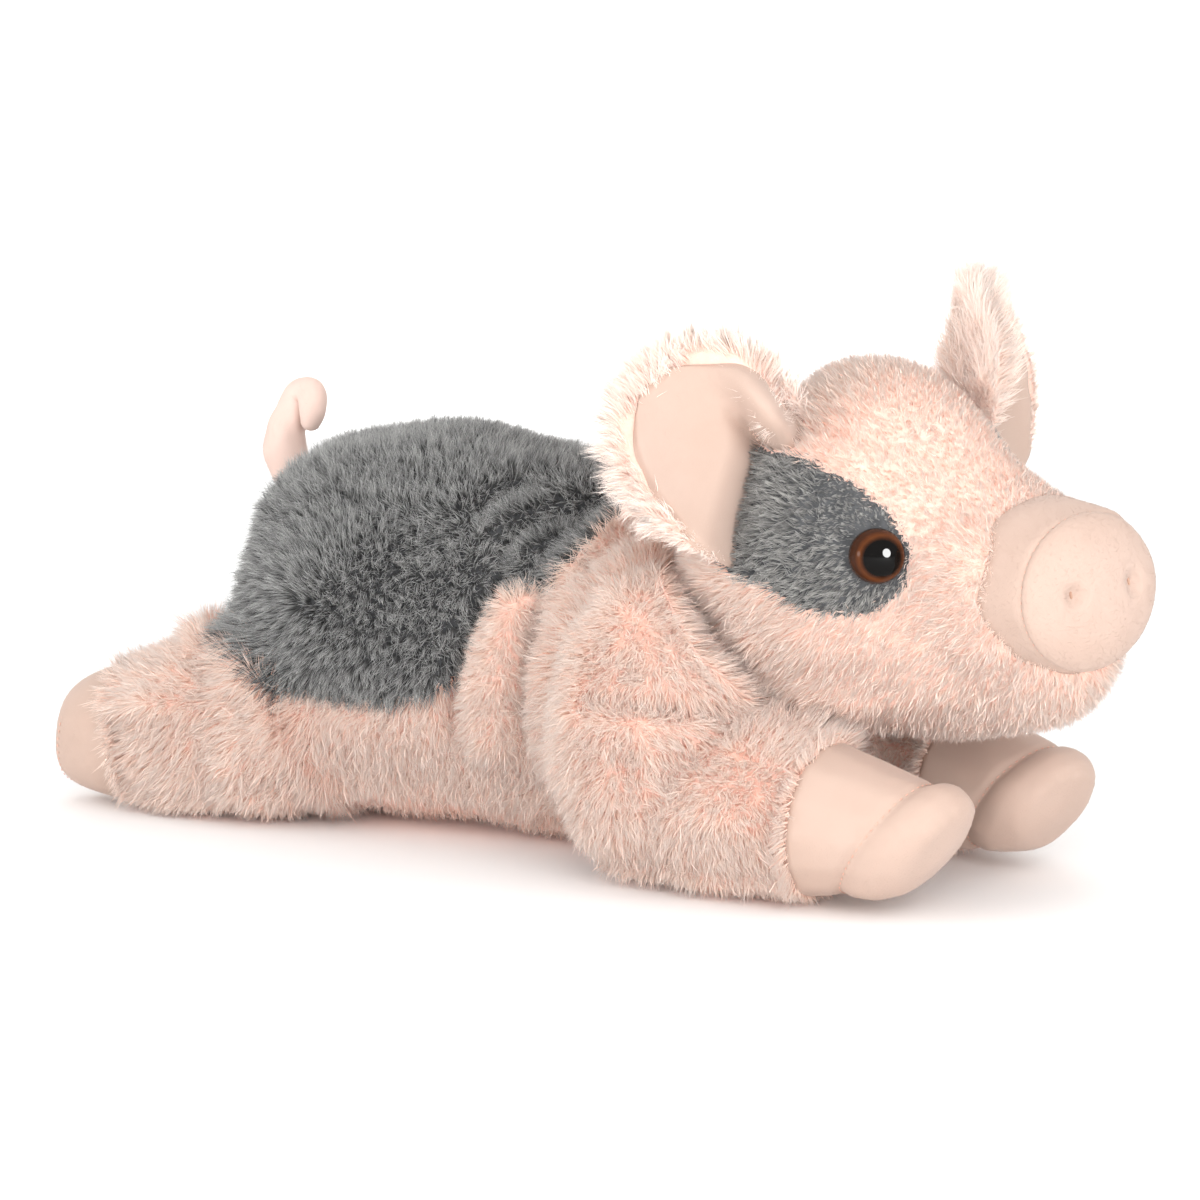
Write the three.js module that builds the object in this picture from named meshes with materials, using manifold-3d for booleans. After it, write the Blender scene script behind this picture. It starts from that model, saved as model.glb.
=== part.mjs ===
import * as THREE from 'three';
import { mergeVertices } from 'three/addons/utils/BufferGeometryUtils.js';
import Module from 'manifold-3d';

const wasm = await Module();
wasm.setup();

// A stuffed toy pig that lies on its belly with its head turned to its right.
// Sizes are in millimetres and angles in degrees. +X points to the snout, +Y to the pig's left and +Z up.
// The origin is on the table, under the flat of the belly.

// Cloth, seams and running gaps
const PLUSH = 3;
const VELOUR = 2;
const GAP = 0.3;
const FLATTENING = 0.5;
const CUTTER_OVERRUN = 30;
const STUFFING_SLACK = 4;

// Torso: a long pillow with the two hips wide, a waist behind the front legs and a narrow chest
const TORSO_REAR = 108;
const TORSO_FRONT = 66;
const TORSO_HALF_WIDTH = 50;
const TORSO_MIDDLE_HEIGHT = 44;
const TORSO_RISE = 53;
const TORSO_BLUNTNESS = 0.45;
const torsoShares = [
  [0.8, 0.8, 0.9],
  [0.96, 1.1, 1.06],
  [1, 1.07, 1.07],
  [1, 1.07, 1.02],
  [0.93, 1.04, 1],
  [0.85, 0.98, 1.02],
  [0.86, 0.92, 1.05],
  [0.88, 0.9, 1.05],
  [0.8, 0.8, 0.85],
];

// Seam between the grey back and the pink belly, from the rump forward, as seen from the side:
// each row holds a place along the torso and a height over the table, in shares of its length and rise
const SADDLE_SEAM_GAP = 0.3;
const saddleSeamShares = [
  [0.046, 0.68],
  [0.27, 0.68],
  [0.42, 0.67],
  [0.5, 0.72],
  [0.545, 0.82],
  [0.557, 1],
  [0.572, 1.16],
  [0.605, 1.24],
  [0.665, 1.29],
  [0.7, 1.41],
  [0.72, 1.53],
  [0.735, 1.7],
  [0.745, 2],
];

// Pouch of pellets that weights the belly
const POUCH_LENGTH = 70;
const POUCH_WIDTH = 44;
const POUCH_HEIGHT = 20;
const POUCH_X = -30;

// Head: its middle, how far it is turned to the right and tilted, and its oval
const HEAD_X = 84;
const HEAD_Y = -5;
const HEAD_Z = 78;
const HEAD_TURN = -13.5;
const HEAD_TILT = 8;
const HEAD_BEHIND = 45;
const HEAD_AHEAD = 59;
const HEAD_HALF_WIDTH = 47;
const HEAD_RISE = 43;
const HEAD_DROP = 44;
const HEAD_BLUNTNESS = 0.5;
const HEAD_LEAN = -18;
const headShares = [
  [0.8, 0.8, 0.75],
  [0.88, 0.86, 0.8],
  [0.95, 0.96, 0.88],
  [0.95, 1, 0.95],
  [0.87, 0.98, 1],
  [0.69, 0.9, 1.02],
  [0.52, 0.73, 1],
  [0.47, 0.52, 0.94],
  [0.45, 0.4, 0.85],
];

// Neck: a ball of stuffing that fills the necks of the torso and the head
const NECK_X = 46;
const NECK_Z = 67;
const NECK_RADIUS = 18;
const HEAD_TURN_RANGE = 12;
const HEAD_NOD_RANGE = 10;

// Snout: a short drum of velour with a domed disc stitched to its front
const SNOUT_BASE_AHEAD = 46;
const SNOUT_SEAM_AHEAD = 62.5;
const SNOUT_CENTRE_DROP = 4;
const SNOUT_TURN = -14;
const SNOUT_BASE_RADIUS = 19;
const SNOUT_BELLY_RADIUS = 18.8;
const SNOUT_SEAM_RADIUS = 16.3;
const SNOUT_DOME = 7;
const NOSTRIL_SPACING = 15.5;
const NOSTRIL_RISE = 1.5;
const NOSTRIL_RADIUS = 2.6;
const NOSTRIL_DEPTH = 1.5;
const STITCH_RADIUS = 0.45;
const STITCH_HALF_LENGTH = 0.9;

// Eyes: a clear brown dome on a black stem, held behind the cloth by a washer
const EYE_DIAMETER = 12.5;
const EYE_DOME_HEIGHT = 4.6;
const EYE_AHEAD = 22.3;
const EYE_SIDE = 27.6;
const EYE_RISE = 6;
const EYE_FACING_OUT = 48;
const EYE_FACING_UP = 4;
const PUPIL_RADIUS = 3.3;
const PUPIL_HEIGHT = 2.2;
const EYE_BACK = 1;
const EYE_STEM_RADIUS = 1.6;
const EYE_STEM_LENGTH = 12;
const WASHER_RADIUS = 7;
const WASHER_THICKNESS = 1.4;
const WASHER_SETBACK = 1.5;

// Grey patches round the eyes: outline in the head's side view, in shares of its length ahead and its rise
const patchShares = [
  [-0.2, 0.7],
  [0.07, 0.65],
  [0.26, 0.52],
  [0.4, 0.36],
  [0.48, 0.18],
  [0.47, -0.04],
  [0.37, -0.16],
  [0.28, -0.18],
  [0.14, -0.15],
  [0, -0.01],
  [-0.12, 0.03],
  [-0.24, 0.08],
  [-0.24, 0.4],
];

// Ears: a leaf of plush with a smaller leaf of velour on its front
const EAR_LENGTH = 41;
const EAR_HALF_WIDTH = 22;
const EAR_CUP = 8;
const EAR_RIM = 3;
const EAR_LAYER_GAP = 0.6;
const EAR_ROOT_DEPTH = 13;
const EAR_BASE_SHARE = 0.85;
const EAR_WIDEST_SHARE = 0.45;
const EAR_FLAP_BACK = 10;
const EAR_FLAP_FORWARD = 15;
const RIGHT_EAR_AHEAD = -4;
const RIGHT_EAR_SIDE = 37;
const RIGHT_EAR_RISE = 20;
const LEFT_EAR_AHEAD = 3;
const LEFT_EAR_SIDE = 33;
const LEFT_EAR_RISE = 20;
const rightEarPointing = [-0.62, -0.22, 0.75];
const rightEarFacing = [0.61, -0.69, 0.37];
const leftEarPointing = [-0.25, 0.25, 0.935];
const leftEarFacing = [0.82, 0.51, 0.08];

// Front legs
const FRONT_ROOT_X = 42;
const FRONT_ROOT_Y = 38.5;
const FRONT_ROOT_RADIUS = 26.5;
const FRONT_ROOT_MIDDLE = 33;
const FRONT_ROOT_TOP = 75;
const FOREARM_RADIUS = 23;
const FRONT_HOOF_RADIUS = 17;
const RIGHT_FRONT_HOOF_X = 117;
const RIGHT_FRONT_HOOF_Y = 39;
const LEFT_FRONT_HOOF_X = 118;
const LEFT_FRONT_HOOF_Y = 17;
const FRONT_SOLE_LEAN = 30;
const FRONT_HOOF_LENGTH = 30;
const FRONT_PAD_DEPTH = 13;

// Rear legs
const REAR_ROOT_X = 80;
const REAR_ROOT_Y = 30;
const REAR_ROOT_RADIUS = 22;
const REAR_ROOT_MIDDLE = 20;
const REAR_ROOT_TOP = 47;
const HOCK_RADIUS = 22;
const REAR_HOOF_RADIUS = 16.5;
const REAR_HOOF_X = 143;
const REAR_HOOF_Y = 36;
const REAR_SOLE_LEAN = -14;
const REAR_HOOF_LENGTH = 17;
const REAR_PAD_DEPTH = 5;
const LEG_BLUNTNESS = 0.4;
const LEG_SPLAY_IN = 4;
const LEG_SPLAY_OUT = 20;

// Tail: a velour tube that rises from the rump and hooks over into a tight curl. Its route is given in shares
// of its curl's width and its height, seen from the side that the curl turns to.
const TAIL_X = 98;
const TAIL_Z = 85;
const TAIL_RADIUS = 3.9;
const TAIL_HEIGHT = 22;
const TAIL_CURL_WIDTH = 8.6;
const TAIL_CURL_TURN = 34;
const tailRouteShares = [
  [0, 0],
  [-0.3, 0.12],
  [-0.42, 0.4],
  [-0.3, 0.72],
  [0.06, 0.97],
  [0.5, 0.96],
  [0.76, 0.72],
  [0.72, 0.48],
];

// Facets
const SMOOTH_RINGS = 16;
const SMOOTH_SIDES = 16;
const PLAIN_RINGS = 8;
const PLAIN_SIDES = 8;
const LEG_RINGS = 10;
const LEG_SIDES = 14;
const ROUND_SEGMENTS = 16;
const BALL_SEGMENTS = 12;
const SOCKET_SEGMENTS = 28;
const STITCH_CAP_RINGS = 2;
const STITCH_SIDES = 6;
const SHEET_ROWS = 7;
const SHEET_COLUMNS = 6;

const PINK_PLUSH = { color: 0xf3cfc4, roughness: 0.95, metalness: 0 };
const GREY_PLUSH = { color: 0x6e7073, roughness: 0.95, metalness: 0 };
const PINK_VELOUR = { color: 0xf5d5c8, roughness: 0.8, metalness: 0 };
const STUFFING = { color: 0xf4f2ee, roughness: 1, metalness: 0 };
const POUCH_CLOTH = { color: 0xe2ddd2, roughness: 0.9, metalness: 0 };
const EYE_BROWN = { color: 0x4a2412, roughness: 0.08, metalness: 0 };
const EYE_BLACK = { color: 0x0b0908, roughness: 0.15, metalness: 0 };
const WASHER_WHITE = { color: 0xeeeeea, roughness: 0.4, metalness: 0 };
const THREAD = { color: 0xd9a99a, roughness: 0.9, metalness: 0 };

const radians = THREE.MathUtils.degToRad;
const UP = new THREE.Vector3(0, 0, 1);

// Turns a closed three.js geometry into a solid that can be joined and cut
function solidOf(geometry) {
  const bare = geometry.clone();
  bare.deleteAttribute('normal');
  bare.deleteAttribute('uv');
  const merged = mergeVertices(bare);
  const corners = Array.from(merged.index.array);
  const kept = [];
  for (let first = 0; first < corners.length; first += 3) {
    const [a, b, c] = corners.slice(first, first + 3);
    if (a !== b && b !== c && c !== a) kept.push(a, b, c);
  }
  return new wasm.Manifold(new wasm.Mesh({
    numProp: 3,
    vertProperties: new Float32Array(merged.attributes.position.array),
    triVerts: new Uint32Array(kept),
  }));
}

function geometryOf(solid) {
  const mesh = solid.getMesh();
  const geometry = new THREE.BufferGeometry();
  geometry.setAttribute('position', new THREE.BufferAttribute(mesh.vertProperties, 3));
  geometry.setIndex(new THREE.BufferAttribute(mesh.triVerts, 1));
  geometry.computeVertexNormals();
  return geometry;
}

const joined = (solids) => solids.reduce((whole, solid) => whole.add(solid));
const cutBy = (solid, cutters) => cutters.reduce((rest, cutter) => rest.subtract(cutter), solid);

// Skin of points in rows, closed where the rows run round and where the first and last row shrink to points
function rowsGeometry(rows) {
  const around = rows[0].length;
  const positions = rows.flatMap((row) => row.flatMap((point) => point.toArray()));
  const faces = [];
  for (let ring = 0; ring + 1 < rows.length; ring += 1) {
    for (let step = 0; step < around; step += 1) {
      const here = ring * around + step;
      const beside = ring * around + (step + 1) % around;
      faces.push(here, beside, here + around, beside, beside + around, here + around);
    }
  }
  const geometry = new THREE.BufferGeometry();
  geometry.setAttribute('position', new THREE.Float32BufferAttribute(positions, 3));
  geometry.setIndex(faces);
  return geometry;
}

// A stuffed form round a straight spine from start to end. Evenly spaced rows of shares give its width, rise
// and drop along the way; both ends close like a pillow's, and the far end may lean.
function stuffedForm(form, grow = 0) {
  const { start, end, halfWidth, rise, drop, shares, bluntness, lean = 0, rings, sides } = form;
  const along = end.clone().sub(start);
  const length = along.length();
  along.normalize();
  const across = new THREE.Vector3().crossVectors(UP, along).normalize();
  const above = new THREE.Vector3().crossVectors(along, across);
  const swell = new THREE.CatmullRomCurve3(shares.map((row) => new THREE.Vector3(...row)));
  const rows = [];
  for (let ring = 0; ring <= rings; ring += 1) {
    const angle = Math.PI * ring / rings;
    const place = (1 - Math.cos(angle)) / 2;
    const closing = ring % rings ? Math.sin(angle) ** bluntness : 0;
    const share = swell.getPoint(place);
    const distance = place * (length + 2 * grow) - grow;
    const row = [];
    for (let step = 0; step < sides; step += 1) {
      const turn = 2 * Math.PI * step / sides;
      const side = Math.cos(turn) * (halfWidth * share.x + grow) * closing;
      const reach = Math.sin(turn) > 0 ? rise * share.y : drop * share.z;
      const height = Math.sin(turn) * (reach + grow) * closing;
      const forward = distance + Math.tan(radians(lean)) * height * place ** 2;
      row.push(start.clone().addScaledVector(along, forward).addScaledVector(across, side)
        .addScaledVector(above, height));
    }
    rows.push(row);
  }
  return rowsGeometry(rows);
}

// An upright egg of revolution, so that a leg can turn about its axis inside its socket
function eggForm({ x, y, radius, middle, top, bottom }, grow = 0, segments = ROUND_SEGMENTS) {
  const profile = [];
  for (let step = 0; step <= segments / 2; step += 1) {
    const angle = Math.PI * (step / (segments / 2) - 1 / 2);
    const reach = Math.sin(angle) > 0 ? top - middle : middle - bottom;
    profile.push(new THREE.Vector2(Math.cos(angle) * (radius + grow), Math.sin(angle) * (reach + grow)));
  }
  return new THREE.LatheGeometry(profile, segments).rotateX(radians(90)).translate(x, y, middle);
}

function ballForm(radius, centre, segments = BALL_SEGMENTS) {
  return new THREE.SphereGeometry(radius, segments, segments / 2).translate(...centre.toArray());
}

// A half space that starts at a point and runs the way it faces
function halfSpace(point, facing, size) {
  const turned = new THREE.Quaternion().setFromUnitVectors(UP, facing.clone().normalize());
  return new THREE.BoxGeometry(size, size, size).translate(0, 0, size / 2)
    .applyQuaternion(turned).translate(...point.toArray());
}

// The table's flat cuts everything that would reach below it
const WORLD_SIZE = 2 * (TORSO_REAR + REAR_HOOF_X + LEFT_FRONT_HOOF_X);
const belowTable = solidOf(halfSpace(new THREE.Vector3(), new THREE.Vector3(0, 0, -1), WORLD_SIZE));

function turnedAbout(geometry, pivot, axis, angle) {
  return geometry.clone().translate(...pivot.clone().negate().toArray())
    .applyQuaternion(new THREE.Quaternion().setFromAxisAngle(axis, radians(angle)))
    .translate(...pivot.toArray());
}

// The head's own frame: ahead, to its left, and up
const headPlace = new THREE.Matrix4().compose(
  new THREE.Vector3(HEAD_X, HEAD_Y, HEAD_Z),
  new THREE.Quaternion().setFromEuler(new THREE.Euler(radians(HEAD_TILT), 0, radians(HEAD_TURN), 'ZXY')),
  new THREE.Vector3(1, 1, 1),
);
const intoHead = headPlace.clone().invert();
const neckPivot = new THREE.Vector3(NECK_X, 0, NECK_Z);
const headForm = {
  start: new THREE.Vector3(-HEAD_BEHIND, 0, 0),
  end: new THREE.Vector3(HEAD_AHEAD, 0, 0),
  halfWidth: HEAD_HALF_WIDTH,
  rise: HEAD_RISE,
  drop: HEAD_DROP,
  shares: headShares,
  bluntness: HEAD_BLUNTNESS,
  lean: HEAD_LEAN,
};
const smoothHead = (grow) => stuffedForm({ ...headForm, rings: SMOOTH_RINGS, sides: SMOOTH_SIDES }, grow);
const plainHead = (grow) => stuffedForm({ ...headForm, rings: PLAIN_RINGS, sides: PLAIN_SIDES }, grow);

// Sideways axis that the head nods about: positive lifts the snout
const nodAxis = new THREE.Vector3(0, -1, 0).applyQuaternion(
  new THREE.Quaternion().setFromAxisAngle(UP, radians(HEAD_TURN)),
);

// What the head passes through as it turns and nods
const everyTurn = [-HEAD_TURN_RANGE, 0, HEAD_TURN_RANGE];
function headSweep(head, turns = everyTurn) {
  const poses = [];
  for (const turn of turns) {
    for (const nod of [0, HEAD_NOD_RANGE]) {
      const nodded = turnedAbout(head.clone().applyMatrix4(headPlace), neckPivot, nodAxis, nod);
      poses.push(turnedAbout(nodded, neckPivot, UP, turn));
    }
  }
  return poses;
}

// Legs: the same pieces four times, at their own sizes and places
const frontLeg = {
  rootRadius: FRONT_ROOT_RADIUS,
  rootMiddle: FRONT_ROOT_MIDDLE,
  rootTop: FRONT_ROOT_TOP,
  upperRadius: FOREARM_RADIUS,
  hoofRadius: FRONT_HOOF_RADIUS,
  soleLean: FRONT_SOLE_LEAN,
  hoofLength: FRONT_HOOF_LENGTH,
  padDepth: FRONT_PAD_DEPTH,
};
const rearLeg = {
  rootRadius: REAR_ROOT_RADIUS,
  rootMiddle: REAR_ROOT_MIDDLE,
  rootTop: REAR_ROOT_TOP,
  upperRadius: HOCK_RADIUS,
  hoofRadius: REAR_HOOF_RADIUS,
  soleLean: REAR_SOLE_LEAN,
  hoofLength: REAR_HOOF_LENGTH,
  padDepth: REAR_PAD_DEPTH,
};
const legs = [
  {
    ...frontLeg,
    name: 'front_leg_right',
    root: [FRONT_ROOT_X, -FRONT_ROOT_Y],
    hoof: [RIGHT_FRONT_HOOF_X, -RIGHT_FRONT_HOOF_Y],
    splay: -1,
  },
  {
    ...frontLeg,
    name: 'front_leg_left',
    root: [FRONT_ROOT_X, FRONT_ROOT_Y],
    hoof: [LEFT_FRONT_HOOF_X, LEFT_FRONT_HOOF_Y],
    splay: 1,
  },
  {
    ...rearLeg,
    name: 'rear_leg_right',
    root: [-REAR_ROOT_X, -REAR_ROOT_Y],
    hoof: [-REAR_HOOF_X, -REAR_HOOF_Y],
    splay: 1,
  },
  {
    ...rearLeg,
    name: 'rear_leg_left',
    root: [-REAR_ROOT_X, REAR_ROOT_Y],
    hoof: [-REAR_HOOF_X, REAR_HOOF_Y],
    splay: -1,
  },
];

// A leg's limb lies along the table and thins from the body to the hoof
function limbForm(leg) {
  const upperShare = leg.upperRadius / leg.hoofRadius;
  const upperMiddle = leg.upperRadius - FLATTENING;
  const hoofMiddle = leg.hoofRadius - FLATTENING;
  return {
    start: new THREE.Vector3(...leg.root, upperMiddle),
    end: new THREE.Vector3(...leg.hoof, hoofMiddle),
    halfWidth: leg.hoofRadius,
    rise: leg.hoofRadius,
    drop: leg.hoofRadius,
    shares: [upperShare, upperShare, (1 + upperShare) / 2, 1, 1].map((share) => [share, share, share]),
    bluntness: LEG_BLUNTNESS,
    lean: leg.soleLean,
  };
}

function rootForm(leg) {
  const [x, y] = leg.root;
  return { x, y, radius: leg.rootRadius, middle: leg.rootMiddle, top: leg.rootTop, bottom: -FLATTENING };
}

function legGeometries(leg, grow, rings, sides) {
  return [stuffedForm({ ...limbForm(leg), rings, sides }, grow), eggForm(rootForm(leg), grow, sides)];
}

// Everything that a leg passes through as it splays
function legSweep(leg, grow, rings, sides, socketSides) {
  const pivot = new THREE.Vector3(...leg.root, 0);
  const axis = UP.clone().multiplyScalar(leg.splay);
  const [limb] = legGeometries(leg, grow, rings, sides);
  const limbs = [-LEG_SPLAY_IN, 0].map((angle) => turnedAbout(limb, pivot, axis, angle));
  return [eggForm(rootForm(leg), grow, socketSides), ...limbs];
}

// The head as a leg meets it, in the leg's own frame, while both move
function headMetByLeg(leg, grow) {
  const pivot = new THREE.Vector3(...leg.root, 0);
  const axis = UP.clone().multiplyScalar(-leg.splay);
  const towardLeg = [0, leg.splay * HEAD_TURN_RANGE];
  const steps = [0, 1 / 3, 2 / 3, 1];
  return headSweep(smoothHead(grow), towardLeg).flatMap((pose) => steps.map(
    (share) => turnedAbout(pose, pivot, axis, THREE.MathUtils.lerp(-LEG_SPLAY_IN, LEG_SPLAY_OUT, share)),
  ));
}

// Torso
const torsoStart = new THREE.Vector3(-TORSO_REAR, 0, TORSO_MIDDLE_HEIGHT);
const torsoEnd = new THREE.Vector3(TORSO_FRONT, 0, TORSO_MIDDLE_HEIGHT);
const torsoForm = {
  start: torsoStart,
  end: torsoEnd,
  halfWidth: TORSO_HALF_WIDTH,
  rise: TORSO_RISE,
  drop: TORSO_MIDDLE_HEIGHT + FLATTENING,
  shares: torsoShares,
  bluntness: TORSO_BLUNTNESS,
};
const TORSO_LENGTH = TORSO_REAR + TORSO_FRONT;

// Side outline of the grey saddle, closed over the back
function saddleGeometry(drop) {
  const seam = saddleSeamShares.map(([along, height]) => new THREE.Vector2(
    along * TORSO_LENGTH - TORSO_REAR,
    height * TORSO_RISE - drop,
  ));
  const shape = new THREE.Shape();
  const rear = -TORSO_REAR - CUTTER_OVERRUN;
  const roof = TORSO_MIDDLE_HEIGHT + 2 * TORSO_RISE;
  shape.moveTo(rear, seam[0].y);
  shape.lineTo(seam[0].x, seam[0].y);
  shape.splineThru(seam.slice(1));
  shape.lineTo(seam.at(-1).x, roof);
  shape.lineTo(rear, roof);
  const width = 2 * TORSO_HALF_WIDTH + 2 * CUTTER_OVERRUN;
  return new THREE.ExtrudeGeometry(shape, { depth: width, bevelEnabled: false, curveSegments: 3 })
    .rotateX(radians(90)).translate(0, width / 2, 0);
}

const neckSocket = ballForm(NECK_RADIUS + GAP, neckPivot, SOCKET_SEGMENTS);
const sweeps = [
  ...headSweep(smoothHead(GAP)),
  ...legs.flatMap((leg) => legSweep(leg, GAP, LEG_RINGS, LEG_SIDES, SOCKET_SEGMENTS)),
].map(solidOf);
// The torso's stuffing keeps further off, so that coarser cutters do for it
const coarseSweeps = [
  ...headSweep(plainHead(STUFFING_SLACK)),
  ...legs.flatMap((leg) => legSweep(leg, STUFFING_SLACK, PLAIN_RINGS, PLAIN_SIDES, PLAIN_SIDES)),
].map(solidOf);
const tailRoot = new THREE.Vector3(-TAIL_X, 0, TAIL_Z);
const tailSocket = solidOf(ballForm(TAIL_RADIUS + GAP, tailRoot));
const torsoOuter = solidOf(stuffedForm({ ...torsoForm, rings: SMOOTH_RINGS, sides: SMOOTH_SIDES }));
const torsoInner = solidOf(stuffedForm({ ...torsoForm, rings: PLAIN_RINGS, sides: PLAIN_SIDES }, -PLUSH));
const torsoFilling = solidOf(
  stuffedForm({ ...torsoForm, rings: PLAIN_RINGS, sides: PLAIN_SIDES }, -PLUSH - GAP),
);
const torsoCloth = cutBy(torsoOuter, [torsoInner, ...sweeps, solidOf(neckSocket), tailSocket, belowTable]);

const pouchForm = (grow) => stuffedForm({
  start: new THREE.Vector3(POUCH_X - POUCH_LENGTH / 2, 0, PLUSH + POUCH_HEIGHT / 2),
  end: new THREE.Vector3(POUCH_X + POUCH_LENGTH / 2, 0, PLUSH + POUCH_HEIGHT / 2),
  halfWidth: POUCH_WIDTH / 2,
  rise: POUCH_HEIGHT / 2,
  drop: POUCH_HEIGHT / 2,
  shares: [[1, 1, 1], [1, 1, 1]],
  bluntness: TORSO_BLUNTNESS,
  rings: PLAIN_RINGS,
  sides: PLAIN_SIDES,
}, grow);

function makeTorso() {
  return {
    back_panel: [torsoCloth.intersect(solidOf(saddleGeometry(0))), GREY_PLUSH],
    belly_panel: [torsoCloth.subtract(solidOf(saddleGeometry(SADDLE_SEAM_GAP))), PINK_PLUSH],
    torso_stuffing: [
      cutBy(torsoFilling, [...coarseSweeps, solidOf(neckSocket), tailSocket, solidOf(pouchForm(GAP))]), STUFFING,
    ],
    pellet_pouch: [solidOf(pouchForm(0)).intersect(torsoFilling), POUCH_CLOTH],
  };
}

function makeLeg(leg) {
  const geometries = (grow, rings, sides) => joined(legGeometries(leg, grow, rings, sides).map(solidOf));
  const clearances = [belowTable];
  if (leg.hoof[0] > 0) clearances.push(joined(headMetByLeg(leg, GAP).map(solidOf)));
  const outer = cutBy(geometries(0, LEG_RINGS, LEG_SIDES), clearances);
  const inner = geometries(-PLUSH, PLAIN_RINGS, PLAIN_SIDES);
  const cloth = outer.subtract(inner);
  const { start, end } = limbForm(leg);
  const along = end.clone().sub(start).normalize();
  const cuff = end.clone().addScaledVector(along, -leg.hoofLength);
  const seam = end.clone().addScaledVector(along, -leg.padDepth);
  const lean = new THREE.Vector3().crossVectors(UP, along).normalize();
  const soleFacing = along.clone().applyAxisAngle(lean, radians(leg.soleLean));
  const beyondCuff = (shift) => solidOf(
    halfSpace(cuff.clone().addScaledVector(along, shift), along, WORLD_SIZE),
  );
  const beyondSeam = (shift) => solidOf(
    halfSpace(seam.clone().addScaledVector(soleFacing, shift), soleFacing, WORLD_SIZE),
  );
  return {
    [`${leg.name}_skin`]: [cloth.subtract(beyondCuff(0)), PINK_PLUSH],
    [`${leg.name}_hoof_wall`]: [cloth.intersect(beyondCuff(GAP)).subtract(beyondSeam(0)), PINK_VELOUR],
    [`${leg.name}_hoof_pad`]: [cloth.intersect(beyondSeam(GAP)), PINK_VELOUR],
    [`${leg.name}_stuffing`]: [
      cutBy(geometries(-PLUSH - GAP, PLAIN_RINGS, PLAIN_SIDES), clearances), STUFFING,
    ],
  };
}

// Head, in its own frame
// The snout points a little further to the side than the face does
const snoutPlace = new THREE.Matrix4().makeTranslation(SNOUT_BASE_AHEAD, 0, -SNOUT_CENTRE_DROP)
  .multiply(new THREE.Matrix4().makeRotationZ(radians(SNOUT_TURN)))
  .multiply(new THREE.Matrix4().makeTranslation(-SNOUT_BASE_AHEAD, 0, 0));
const intoSnout = (geometry) => geometry.applyMatrix4(snoutPlace);

function snoutLathe(profile) {
  const points = profile.map(([ahead, radius]) => new THREE.Vector2(radius, ahead));
  return intoSnout(new THREE.LatheGeometry(points, ROUND_SEGMENTS).rotateZ(radians(-90)));
}

// Ahead and radius along the outside of the snout's wall, from the face to the seam
function snoutWallProfile(shrink) {
  const length = SNOUT_SEAM_AHEAD - SNOUT_BASE_AHEAD;
  return [
    [SNOUT_BASE_AHEAD, SNOUT_BASE_RADIUS - shrink],
    [SNOUT_BASE_AHEAD + length / 3, SNOUT_BELLY_RADIUS - shrink],
    [SNOUT_BASE_AHEAD + 2 * length / 3, (SNOUT_BELLY_RADIUS + SNOUT_SEAM_RADIUS) / 2 - shrink],
    [SNOUT_SEAM_AHEAD, SNOUT_SEAM_RADIUS - shrink],
  ];
}

// Ahead and radius over the snout's domed disc, from its edge to its middle
function snoutDomeProfile(start, shrink) {
  const steps = PLAIN_RINGS / 2;
  return Array.from({ length: steps + 1 }, (unused, step) => {
    const angle = radians(90) * step / steps;
    return [start + (SNOUT_DOME - shrink) * Math.sin(angle), (SNOUT_SEAM_RADIUS - shrink) * Math.cos(angle)];
  });
}

// The middle of a nostril, some way under the disc's surface
function nostrilPlace(side, depth) {
  const reach = Math.hypot(NOSTRIL_SPACING / 2, NOSTRIL_RISE) / SNOUT_SEAM_RADIUS;
  return new THREE.Vector3(
    SNOUT_SEAM_AHEAD + GAP + SNOUT_DOME * Math.sqrt(1 - reach ** 2) - depth,
    side * NOSTRIL_SPACING / 2,
    NOSTRIL_RISE,
  );
}

const snoutRoot = HEAD_AHEAD / 2;
function patchGeometry(side, grow) {
  const points = patchShares.map(([ahead, rise]) => new THREE.Vector2(ahead * HEAD_AHEAD, rise * HEAD_RISE));
  const centre = points.reduce((sum, point) => sum.add(point), new THREE.Vector2()).divideScalar(points.length);
  const spread = points.map((point) => point.clone().sub(centre).setLength(
    point.distanceTo(centre) + grow,
  ).add(centre));
  const shape = new THREE.Shape();
  shape.moveTo(spread[0].x, spread[0].y);
  shape.splineThru([...spread.slice(1), spread[0]]);
  const depth = HEAD_HALF_WIDTH + CUTTER_OVERRUN;
  return new THREE.ExtrudeGeometry(shape, { depth, bevelEnabled: false, curveSegments: 1 })
    .rotateX(radians(90)).translate(0, side > 0 ? depth : 0, 0);
}

// The place of an eye: its middle on the face, its stem running in
function eyePlace(side) {
  const facing = new THREE.Vector3(
    Math.cos(radians(EYE_FACING_OUT)) * Math.cos(radians(EYE_FACING_UP)),
    side * Math.sin(radians(EYE_FACING_OUT)) * Math.cos(radians(EYE_FACING_UP)),
    Math.sin(radians(EYE_FACING_UP)),
  );
  return new THREE.Matrix4().compose(
    new THREE.Vector3(EYE_AHEAD, side * EYE_SIDE, EYE_RISE),
    new THREE.Quaternion().setFromUnitVectors(UP, facing),
    new THREE.Vector3(1, 1, 1),
  );
}

// Solid of revolution about an eye's axis, from rows of radius and height over the face
function eyeLathe(profile, place) {
  const points = profile.map(([radius, height]) => new THREE.Vector2(radius, height));
  return solidOf(new THREE.LatheGeometry(points, ROUND_SEGMENTS).rotateX(radians(90)).applyMatrix4(place));
}

function domeProfile(radius, height, base) {
  const steps = PLAIN_RINGS / 2;
  return Array.from({ length: steps + 1 }, (unused, step) => {
    const angle = radians(90) * step / steps;
    return [radius * Math.cos(angle), base + height * Math.sin(angle)];
  });
}

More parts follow.
